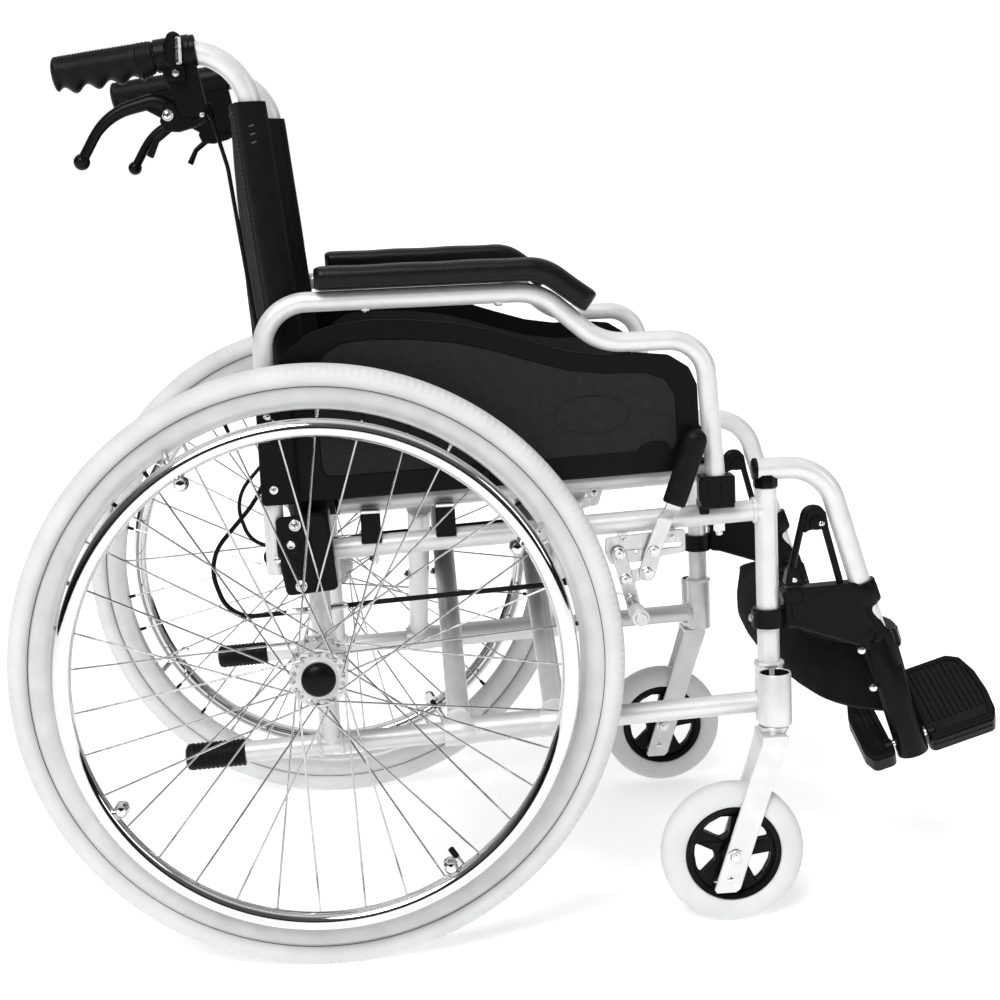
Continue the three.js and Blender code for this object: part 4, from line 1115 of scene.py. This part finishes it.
def strip(a, b, wa, wb=None):
    """Outline of a bar with round ends."""
    wb = wa if wb is None else wb
    angle = atan2(b[1] - a[1], b[0] - a[0]) * 180 / pi
    return arc2(b[0], b[1], wb / 2, angle - 90, angle + 90, 12) + arc2(a[0], a[1], wa / 2, angle + 90,
            angle + 270, 12)


def lock_plate(s):
    p = Piece("wheel_lock_plate", s)
    outline = [(296, 412), (378, 417), (378, 393), (354, 390), (345, 386), (300, 384), (295, 396)]
    slot = arc2(372, 401, 2.5, -88, 92, 6) + arc2(355, 400.4, 2.5, 92, 272, 6)
    p.slab(outline, s * (LOCK_Y - 4.8), s * (LOCK_Y - 1.8), STEEL, 0.6, corner=4,
           holes=[slot, circle2(327, 396, 2, 12)])
    p.block((310, s * (FRAME_Y + 10.4), 404), (368, s * (LOCK_Y - 2), 412.5), SILVER, 1.2, 2)
    for x in (314, 364):
        p.block((x - 5, s * (FRAME_Y + 4), upper_z(x) - 15), (x + 5, s * (LOCK_Y - 3), upper_z(x) - 9),
                SILVER, 1, 1.5)
        p.bolt(V(x, s * (LOCK_Y - 1.8), 410), V(0, s, 0), 2.6, kind="cross", height=1.6)
    return p.done("frame" + p.tag, "steel")


def lock_lever(s):
    p = Piece("wheel_lock_lever", s)
    y0, y1 = s * (LOCK_Y + 1.6), s * (LOCK_Y + 4.8)
    p.slab(strip(LOCK_LOW, LOCK_LEVER, 17), y0, y1, STEEL, 0.6)
    gy = s * LOCK_GRIP_Y
    # the bar steps outwards to clear the side panel, then runs up into the grip
    foot, knee = V(344, s * (LOCK_Y + 3.2), 397.5), V(357, s * (LOCK_Y + 8), 432)
    bar = rounded([(foot, 0), (knee, 10), (V(360.5, gy - s * 2, 444), 6), (V(368, gy, 466), 0)], radians(10))
    rings = []
    for i, pt in enumerate(bar):
        t = ((bar[min(i + 1, len(bar) - 1)]) - bar[max(i - 1, 0)]).normalized()
        wide = V(1, 0, 0) - t * t.x
        wide.normalize()
        thin = t.cross(wide).normalized()
        w, h, c = 8.0, 1.7, 0.6
        rings.append([pt + wide * a + thin * b for a, b in
                      ((-w + c, -h), (w - c, -h), (w, -h + c), (w, h - c), (w - c, h), (-w + c, h),
                              (-w, h - c),
                       (-w, -h + c))])
    p.shell(rings, STEEL)
    # ribbed grip with a smooth domed end
    a, b = V(361.5, gy, 449), V(389, gy, 523)
    along = (b - a).normalized()
    wide = V(1, 0, 0) - along * along.x
    wide.normalize()
    thin = V(0, 1, 0)
    length, n, rings = (b - a).length, 96, []
    marks = [0, 1, 2.2] + [2.2 + (length - 14.2) * k / 16 for k in range(1, 17)] + \
            [length - 12 + 12 * sin(pi / 2 * k / 8) for k in range(1, 9)]
    for mm in marks:
        scale = 1.0
        if mm > length - 12:
            scale = sqrt(max(1 - ((mm - length + 12) / 12.3) ** 2, 0.02))
        if mm < 2.2:
            scale = 0.93 + 0.07 * mm / 2.2
        ring = []
        for j in range(n):
            ang = 2 * pi * j / n
            rib = -0.5 if (j % 6 < 2 and 3 < mm < length - 10) else 0.0
            ring.append(a + along * mm + wide * ((12 + rib) * scale * cos(ang))
                        + thin * ((9.6 + rib) * scale * sin(ang)))
        rings.append(ring)
    p.shell(rings, RUBBER)
    out = V(0, s, 0)
    for x, z in (LOCK_LEVER, LOCK_LOW):
        p.bolt(V(x, y1, z), out, 4.8, kind="hex", height=3.6)
    return p.done("wheel_lock_lever" + p.tag, "steel")


def lock_link(s):
    p = Piece("wheel_lock_link", s)
    p.slab(strip(LOCK_MID, LOCK_LOW, 13), s * (LOCK_Y - 1.4), s * (LOCK_Y + 1.2), STEEL, 0.5)
    return p.done("wheel_lock_link" + p.tag, "steel")


def lock_arm(s):
    p = Piece("wheel_lock_arm", s)
    y0, y1 = s * (LOCK_Y + 1.6), s * (LOCK_Y + 4.8)
    p.slab(strip(LOCK_ARM, (322, 341), 15, 14), y0, y1, STEEL, 0.6)
    out = V(0, s, 0)
    for x, z in (LOCK_ARM, LOCK_MID):
        p.bolt(V(x, y1, z), out, 4.8, kind="hex", height=3.6)
    p.bolt(V(*LOCK_END[:1], y1, LOCK_END[1] + 1), out, 3.8, kind="hex", height=4.4)
    p.tube([V(321, y1 - s * 2, 341), V(321, s * 301.6, 341)], 6.5, STEEL, 28, 0.8)
    p.lathe(V(321, s * 262, 341), out, [(6.5, 0), (8.6, 0.6), (8.8, 2), (8.8, 32), (8.4, 33.6), (6.5, 34)],
            SILVER, 28,
            loop=True)
    return p.done("wheel_lock_arm" + p.tag, "steel")


# ---- footrest hanger -----------------------------------------------------------------
def hanger_tube(s):
    p = Piece("hanger_tube", s)
    y = s * FRAME_Y
    path = [(V(455, y, 472), 0), (V(526, y, 472), 50), (V(hanger_x(168), y, 168), 0)]
    p.tube(rounded(path, radians(5)), TUBE_R + 0.4, SILVER, 28)
    p.lathe(V(455, y, 472), V(-1, 0, 0), [(0, -1), (11.7, -1), (12, 0), (11.6, 2.4), (9.8, 3.6), (0, 4)],
            PLASTIC, 28)
    cap = [(0, 453.4), (12.7, 453.4), (13, 454.4), (13, 462.5), (11.2, 466.6), (0, 467)]
    p.lathe(V(UPRIGHT_X, y, 0), UP, cap, PLASTIC, 8, start=pi / 8)
    return p.done("hanger" + p.tag, "silver_paint")


def hanger_bracket(s):
    p = Piece("hanger_bracket", s)
    y = s * FRAME_Y
    web = [(471, 346), (577, 350), (583, 330), (573.5, 321), (597, 282), (621, 202), (622, 150), (603, 146),
           (588, 214), (572, 262), (559, 283), (528, 295), (492, 304), (474, 316)]
    web = [(min(x, 480) if x < 480 else x, z) for x, z in web]
    skin = [(480, 346), (577, 350), (583, 331), (573.5, 321), (597, 284), (600, 262), (560, 281), (520, 295),
            (492, 304.5), (480, 306)]
    p.slab(skin, y - 11.6, y + 11.6, PLASTIC, 2.6, corner=5)
    p.slab([(486, 341), (568, 344), (566, 322), (578, 300), (556, 291), (526, 302), (488, 312)],
           y + s * 10, y + s * 12.8, PLASTIC, 1.6, corner=6)
    # lower flange that carries the plate's rivets, and the sleeve round the hanger tube
    flange = [(552, 286), (600, 284), (621, 206), (606, 196), (590, 212), (578, 236), (566, 268)]
    p.slab(flange, y - 7, y + s * 0 + 7, PLASTIC, 1.8, corner=5)
    lean = Vector((-LEAN, 0, 1)).normalized()
    sleeve = [(11.5, 0), (15.8, 0), (16.6, 1), (17.2, 60), (16.4, 118), (15.6, 119), (11.5, 119)]
    base = V(hanger_x(160), y, 160)
    p.lathe(base, lean, [(r, h * 1.13) for r, h in sleeve], PLASTIC, 36, loop=True)
    p.slab([(572, 300), (590, 300), (604, 262), (598, 240), (580, 240), (570, 270)], y - 14.8, y + 14.8,
            PLASTIC, 5,
           corner=6)
    cuff = [(11.5, 0), (14.6, 0), (15.4, 1.2), (15.4, 22), (14.6, 23.4), (11.5, 23.6)]
    p.lathe(V(hanger_x(326), y, 326), lean, cuff, PLASTIC, 36, loop=True)
    # hinge ring round the upright, with its arm and screw
    ring = [(11.8, 306), (16.2, 306), (17, 307), (17, 325), (16.2, 326), (11.8, 326)]
    p.lathe(V(UPRIGHT_X, y, 0), UP, ring, PLASTIC, 40, loop=True)
    p.block((476, y - 9, 309), (494, y + 9, 323), PLASTIC, 2, 2.5)
    upper_ring = [(480, 331), (478, 344), (500, 346), (500, 330)]
    p.slab(upper_ring, y - 14.5, y + 14.5, PLASTIC, 2.2, corner=3)
    for x, z in ((561, 277), (574, 235)):
        p.lathe(V(x, y + s * 11.0 if z > 250 else y + s * 6.8, z), V(0, s, 0),
                [(0, -1), (4.4, -1), (4.4, 0.8), (3.4, 2.2), (1.4, 2.8), (0, 2.9)], BOLT, 24)
    p.lathe(V(450, y, 316), V(-1, 0, 0), [(0, -4), (4.2, -4), (4.2, 3.4), (3, 4.8), (0, 5)], BOLT, 6)
    return p.done("hanger" + p.tag, "black_plastic")


def release_lever(s):
    p = Piece("hanger_release_lever", s)
    y = s * FRAME_Y
    path = [(V(487, y, 350), 0), (V(506, y, 428), 9), (V(521, y, 429), 9), (V(543, y, 343), 0)]
    p.tube(rounded(path, radians(9)), 4.6, PLASTIC, 18, 0.8, flat=0.8)
    p.slab([(502, 402), (506, 426), (512, 431), (521, 431), (527, 424), (530, 407), (524, 406), (510, 406)],
           y - 5.4, y + 5.4, PLASTIC, 1.8, corner=4)
    p.lathe(V(517, y, 414), V(0, s, 0), [(0, -7), (7.4, -7), (8, -6), (8, 6), (7, 7.6), (3, 8), (0, 8)],
            PLASTIC, 28)
    p.bolt(V(521, y + s * 6.6, 413), V(0, s, 0), 3.0, kind="cross", height=1.8)
    p.slab([(482, 349), (486, 368), (494, 368), (506, 349)], y - 8.4, y + 8.4, PLASTIC, 1.4, corner=3)
    p.lathe(V(492, y + s * 8.2, 355), V(0, s, 0), [(0, -1), (2.6, -1), (2.6, 0.8), (1.6, 1.6), (0, 1.8)],
            BOLT, 20)
    return p.done("hanger_release" + p.tag, "black_plastic")


PITCH = radians(16.4)
TILT = {-1: radians(34), 1: radians(3)}
HINGE_Z = 176.0


def footplate(s):
    p = Piece("footplate", s)
    tilt, hx = TILT[s], hanger_x(HINGE_Z)

    def place(u, v, w):
        y, z = v * cos(tilt) - w * sin(tilt), v * sin(tilt) + w * cos(tilt)
        x, z = u * cos(PITCH) - z * sin(PITCH), u * sin(PITCH) + z * cos(PITCH)
        return V(hx + x, s * (FRAME_Y - y), HINGE_Z + z)

    right = [(19, -14), (90, -14), (97, 0), (99.5, 26), (98, 54), (91, 77), (78, 86)]
    left = [(-26, 86), (-40, 78), (-49, 50), (-50, 0), (-44, -14), (-19, -14)]
    outline = right + left + [(-19, 60), (-14, 64), (14, 64), (19, 60)]
    outline = soft2(outline, 7)
    if area2(outline) < 0:
        outline = outline[::-1]
    p.slab(outline, -22, 1.6, PLASTIC, 3.0, place=place)
    rim = inset2(outline, 1.6)
    p.slab(rim, 0.4, 3.6, PLASTIC, 1.0, place=place, holes=[inset2(rim, 6.5)])
    # tread field in the lightened tread plastic: painted highlight
    p.slab(inset2(rim, 6), 0.2, 2.2, TREAD_LIGHTENED, 0, place=place)
    # ribs of the tread, front field and rear field, in the lightened tread plastic whose lighter colour is
    # painted highlight on their tops
    for k in range(11):
        u = 26 + 6.1 * k
        top = 78 - max(u - 70, 0) * 0.6
        p.tube([place(u, 8, 2.6), place(u, top, 2.6)], 1.5, TREAD_LIGHTENED, 10, 0.5)
    for k in range(4):
        u = -42 + 6.1 * k
        p.tube([place(u, 8, 2.6), place(u, 74 if k > 1 else 60, 2.6)], 1.5, TREAD_LIGHTENED, 10, 0.5)
    # hinge lugs and pin
    for u0, u1 in ((19, 29), (-29, -19)):
        p.tube([place(u0, 0, -4), place(u1, 0, -4)], 9.6, PLASTIC, 28, 1.4)
    p.tube([place(-21, 0, 0), place(21, 0, 0)], 3.9, BOLT, 18, 0.6)
    p.tube([place(22, -13.6, -9), place(88, -13.6, -9)], 1.6, PLASTIC, 10, 0.5)
    return p.done("footplate" + p.tag, "black_plastic")


def stitches(p, points, pitch=4.6, share=0.62, r=0.42):
    """Short raised threads along a line."""
    total = polyline_length(points)
    walked, marks = 0.0, []
    for a, b in zip(points, points[1:]):
        length = (b - a).length
        while length > 0 and (not marks or marks[-1][0] + pitch < walked + length):
            at = marks[-1][0] + pitch if marks else 1.0
            if at < walked:
                at = walked
            if at > walked + length:
                break
            marks.append((at, a.lerp(b, (at - walked) / length), (b - a).normalized()))
        walked += length
    for at, point, along in marks:
        if at + pitch * share < total:
            p.tube([point, point + along * (pitch * share)], r, THREAD, 6, 0.12)


def curve_through(points, steps):
    """A smooth curve through a few points, evenly sampled in each stretch."""
    out = []
    for i in range(len(points) - 1):
        p0, p1, p2, p3 = (Vector(points[j]) for j in (max(i - 1, 0), i, i + 1, min(i + 2, len(points) - 1)))
        for k in range(steps):
            t = k / steps
            out.append(0.5 * (2 * p1 + (p2 - p0) * t + (2 * p0 - 5 * p1 + 4 * p2 - p3) * t * t
                              + (3 * p1 - p0 - 3 * p2 + p3) * t ** 3))
    out.append(Vector(points[-1]))
    return out


def calf_strap(s):
    """Half of the strap behind the calves: a broad band that loops round the hanger."""
    p = Piece("calf_strap", s)
    line = curve_through([(0.3, -100), (60, -98.5), (115, -92), (160, -74), (186, -44), (198.5, -6)], 7)
    rows = 12
    grid = []
    for y, dx in line:
        near = max((y - 90) / 110, 0.0)
        low, high = 232 - 30 * near, 312 - 36 * near
        column = []
        for k in range(rows + 1):
            z = low + (high - low) * k / rows
            q = k / rows
            middle = 488 + 0.011 * (z - 262) ** 2 + (dx + 100)
            wave = 3.5 * sin(q * pi) * near + 0.9 * noise.noise((y * 0.05, z * 0.04, s * 3.0))
            x = (hanger_x(z) + dx) * near + middle * (1 - near) + wave
            column.append(V(x, s * y, z))
        grid.append(column)
    width, length = cloth(p, grid, 2.4, FABRIC)
    return p, grid, width, length


# ---- folding cross-brace -------------------------------------------------------------
def cross_brace(side, rear, front):
    p = Piece("cross_brace", side)
    foot_y, top_y = side * FRAME_Y, -side * SEAT_Y
    for x in (rear, front):
        a, b = V(x, foot_y, lower_z(x) + 13.4), V(x, top_y, seat_z(x) - 9)
        p.rod(a, b, 11.8, SILVER, 28, 0.6)
        p.bead(a + (b - a).normalized() * 2, b - a, 11.6, 2.0)
        p.bead(b - (b - a).normalized() * 3, b - a, 11.6, 2.0)
        mid = a.lerp(b, 0.5)
        out = V(1, 0, 0) if x == front else V(-1, 0, 0)
        p.bolt(V(mid.x, 0, mid.z) + out * 11.6, out, 6.0, kind="hex", height=4)
    p.rod(V(25, top_y, seat_z(25)), V(411, top_y, seat_z(411)), TUBE_R, SILVER, 28)
    along = V(1, 0, SLOPE).normalized()
    for x, way in ((25, -1), (411, 1)):
        p.lathe(V(x, top_y, seat_z(x)), along * way,
                [(0, -3), (10.6, -3), (11.4, 0), (11.2, 1.6), (8, 3), (0, 3.4)],
                PLASTIC, 28)
    low, high = min(rear, front) - 16, max(rear, front) + 16
    for x0 in (rear - 16, front - 16):
        sleeve = [(12.2, 0), (14.6, 0), (15, 0.6), (15, 31.4), (14.6, 32), (12.2, 32)]
        p.lathe(V(x0, foot_y, lower_z(x0)), along, sleeve, SILVER, 36, loop=True)
    p.lathe(V(low + 30, foot_y, lower_z(low + 30)), along,
            [(12.3, 0), (14.2, 0), (14.2, high - low - 60), (12.3, high - low - 60)], SILVER, 36, loop=True)
    # tab with a screw, under the seat rail
    p.slab([(281, 449), (297, 450), (297, 462), (281, 462)], top_y - side * 4, top_y - side * 7.4, SILVER,
            0.8, corner=5)
    p.bolt(V(289, top_y - side * 7.4, 455), V(0, -side, 0), 3.2, kind="cross", height=1.8)
    return p.done("brace" + p.tag, "silver_paint")


# ---- upholstery ----------------------------------------------------------------------
def seat_sling(s):
    p = Piece("seat_sling", s)
    flat = curve_through([(0.3, -13.6), (40, -12.8), (80, -10.2), (120, -5.6), (155, 1.6), (178, 8.6)],
            5)[:-1]
    wrap = [Vector((SEAT_Y + 13.0 * cos(radians(a)), 13.0 * sin(radians(a)))) for a in range(112, 48, -9)]
    line = flat + wrap
    cols = 40
    grid = []
    for v in line:
        row = []
        for k in range(cols + 1):
            x = 28 + 380 * k / cols
            middle = max(1 - v.x / 170, 0)
            sag = -2.2 * middle * sin(pi * k / cols) + 0.8 * noise.noise((x * 0.02, v.x * 0.02,
                    2.0 * s)) * min(middle * 3, 1)
            row.append(V(x, s * v.x, seat_z(x) + v.y + sag))
        grid.append(row)
    across, along = cloth(p, grid, 2.2, FABRIC)
    i = 24
    stitches(p, [grid[i][k] + V(0, 0, 1.3) for k in range(1, cols)])
    for k in (1, cols - 1):
        stitches(p, [grid[j][k] + V(0, 0, 1.3) for j in range(0, len(flat))])
    obj = p.done("seat" + p.tag, "sling_fabric")
    return obj


def back_sling(s):
    """Half of the backrest: hangs behind the canes and is sewn into a sleeve round each."""
    p = Piece("back_sling", s)
    flat = curve_through([(0.3, -31.5), (60, -29.5), (120, -25.5), (165, -22.4), (190, -20.2),
            (203, -17.6)], 5)[:-1]
    wrap = [Vector((FRAME_Y + 14.2 * cos(radians(a)), 14.2 * sin(radians(a)))) for a in range(-104, 150, 13)]
    tail = [Vector((FRAME_Y - 17, 6.0)), Vector((FRAME_Y - 26, 0.5)), Vector((FRAME_Y - 34, -5.0))]
    line = flat + wrap + tail
    rows = 48
    grid = []
    for v in line:
        column = []
        for k in range(rows + 1):
            z = 430 + 432 * k / rows
            middle = max(1 - v.x / 190, 0)
            x = cane_x(z) + v.y
            x += 2.6 * noise.noise((v.x * 0.022, z * 0.011, 4.0 + s)) * min(middle * 2.4 + 0.18, 1)
            x -= (4 + 13 * middle) * sin(pi * (k / rows) ** 0.8) * min(1, (FRAME_Y - v.x) / 60 + 0.05)
            column.append(V(x, s * v.x, z))
        grid.append(column)
    across, along = cloth(p, grid, 2.4, FABRIC)
    i = len(flat) - 1
    stitches(p, [grid[i][k] + V(-1.4, 0, 0) for k in range(1, rows)])
    for k in (1, rows - 1):
        stitches(p, [grid[j][k] + V(-1.4, 0, 0) for j in range(0, len(flat))])
    for dz in (0, 8, 16):
        at = V(cane_x(838 - dz) - 4, s * (FRAME_Y + 15.0), 838 - dz)
        p.tube([at, at + V(5, 0, 1.5)], 0.7, THREAD, 8, 0.2)
    obj = p.done("back" + p.tag, "sling_fabric")
    return obj


# ---- building ------------------------------------------------------------------------
def edge_band(p, grid):
    """A bound edge along the strap's top and bottom."""
    for k in (0, -1):
        p.tube([column[k] for column in grid], 1.7, EDGING, 10, 0.4)


for side in (-1, 1):
    for make in (side_frame, grip, lever_bracket, attendant_lever, brake_cable, armrest_tube, arm_pad,
                 side_panel, pivot_plate, arm_socket, arm_latch, saddle, rear_wheel, tyre, handrim, axle,
                 caster_fork, caster_wheel, lock_plate, lock_lever, lock_link, lock_arm, hanger_tube,
                 hanger_bracket, release_lever, footplate, seat_sling, back_sling):
        make(side)
    strap, strap_grid, strap_width, strap_length = calf_strap(side)
    edge_band(strap, strap_grid)
    band = strap.done("hanger" + strap.tag, "sling_fabric")
cross_brace(-1, 138, 238)
cross_brace(1, 108, 268)

# ---- floor, light and camera ---------------------------------------------------------
floor_stuff = Stuff("studio_floor", (0.93, 0.93, 0.93), 0.85)
floor_stuff.mottle(floor_stuff.noise(0.7, 2), 0.01)
floor_stuff.shader.inputs["Emission Color"].default_value = (1, 1, 1, 1)
floor_stuff.shader.inputs["Emission Strength"].default_value = 0.42
floor_mesh = bpy.data.meshes.new("floor")
floor_mesh.from_pydata([(-30, -30, 0), (30, -30, 0), (30, 30, 0), (-30, 30, 0)], [], [(0, 1, 2, 3)])
floor_mesh.materials.append(floor_stuff.material)
floor = bpy.data.objects.new("floor", floor_mesh)
bpy.context.scene.collection.objects.link(floor)


def lamp(name, at, target, size, watts):
    data = bpy.data.lights.new(name, "AREA")
    data.shape = "RECTANGLE"
    data.size, data.size_y = size
    data.energy = watts
    obj = bpy.data.objects.new(name, data)
    obj.location = at
    obj.rotation_euler = (Vector(target) - Vector(at)).to_track_quat("-Z", "Y").to_euler()
    bpy.context.scene.collection.objects.link(obj)
    return obj


sun = bpy.data.lights.new("softbox", "SUN")
sun.energy = 2.1
sun.angle = radians(30)
sun_object = bpy.data.objects.new("softbox", sun)
sun_object.rotation_euler = Vector((0.42, 0.95, -1.05)).to_track_quat("-Z", "Y").to_euler()
bpy.context.scene.collection.objects.link(sun_object)
lamp("key", (-1.2, -2.6, 2.6), (0, 0, 0.5), (1.4, 0.9), 18)
lamp("fill", (2.4, -1.6, 1.6), (0, 0, 0.5), (0.7, 1.5), 10)

world = bpy.data.worlds.new("studio")
bpy.context.scene.world = world
world.use_nodes = True
tree = world.node_tree
background = tree.nodes["Background"]
coordinates = tree.nodes.new("ShaderNodeTexCoord")
split = tree.nodes.new("ShaderNodeSeparateXYZ")
tree.links.new(coordinates.outputs["Generated"], split.inputs["Vector"])


def sky_ramp(axis, stops):
    """Brightness by direction, from -1 to 1 along an axis."""
    shift = tree.nodes.new("ShaderNodeMath")
    shift.operation = "MULTIPLY_ADD"
    shift.inputs[1].default_value = 0.5
    shift.inputs[2].default_value = 0.5
    made = tree.nodes.new("ShaderNodeValToRGB")
    marks = made.color_ramp.elements
    while len(marks) < len(stops):
        marks.new(0.5)
    for mark, (at, value) in zip(marks, stops):
        mark.position = at
        mark.color = (value, value, value, 1)
    tree.links.new(split.outputs[axis], shift.inputs[0])
    tree.links.new(shift.outputs["Value"], made.inputs["Fac"])
    return made.outputs["Color"]


# bright overhead; dark cards behind the viewer and at both sides, so that gloss and chrome have edges
overhead = sky_ramp("Z", [(0.0, 0.9), (0.42, 0.8), (0.5, 0.10), (0.60, 0.16), (0.68, 0.95), (0.76, 1.1),
                          (0.80, 0.5), (0.85, 1.0), (1.0, 1.15)])
behind = sky_ramp("Y", [(0.0, 0.10), (0.24, 0.16), (0.38, 0.85), (1.0, 1.0)])
sides = sky_ramp("X", [(0.0, 0.12), (0.10, 0.2), (0.2, 1.0), (0.8, 1.0), (0.9, 0.25), (1.0, 0.15)])
sky = tree.nodes.new("ShaderNodeMix")
sky.data_type = "RGBA"
sky.blend_type = "MULTIPLY"
sky.inputs["Factor"].default_value = 1.0
tree.links.new(overhead, sky.inputs["A"])
tree.links.new(behind, sky.inputs["B"])
card_lit = tree.nodes.new("ShaderNodeMix")
card_lit.data_type = "RGBA"
card_lit.blend_type = "MULTIPLY"
card_lit.inputs["Factor"].default_value = 1.0
tree.links.new(sky.outputs["Result"], card_lit.inputs["A"])
tree.links.new(sides, card_lit.inputs["B"])
path = tree.nodes.new("ShaderNodeLightPath")
plain = tree.nodes.new("ShaderNodeBackground")
plain.inputs["Color"].default_value = (1, 1, 1, 1)
plain.inputs["Strength"].default_value = 1.0
background.inputs["Strength"].default_value = 0.9
pick = tree.nodes.new("ShaderNodeMixShader")
tree.links.new(card_lit.outputs["Result"], background.inputs["Color"])
tree.links.new(path.outputs["Is Camera Ray"], pick.inputs["Fac"])
tree.links.new(background.outputs["Background"], pick.inputs[1])
tree.links.new(plain.outputs["Background"], pick.inputs[2])
tree.links.new(pick.outputs["Shader"], tree.nodes["World Output"].inputs["Surface"])

azimuth, elevation, roll = -0.0623257, 0.1633568, -0.0435611
ahead = Vector((-sin(azimuth) * cos(elevation), cos(azimuth) * cos(elevation), -sin(elevation)))
right = Vector((cos(azimuth), sin(azimuth), 0))
upward = right.cross(ahead)
turned_right = right * cos(roll) + upward * sin(roll)
turned_up = upward * cos(roll) - right * sin(roll)
lens = bpy.data.cameras.new("camera")
lens.sensor_width = 36
lens.lens = 67.9
camera = bpy.data.objects.new("camera", lens)
turn = Matrix((turned_right, turned_up, -ahead)).transposed().to_4x4()
turn.translation = Vector((-0.1296, -2.1120, 0.7677))
camera.matrix_world = turn
bpy.context.scene.collection.objects.link(camera)
bpy.context.scene.camera = camera
bpy.context.scene.view_settings.view_transform = "Standard"
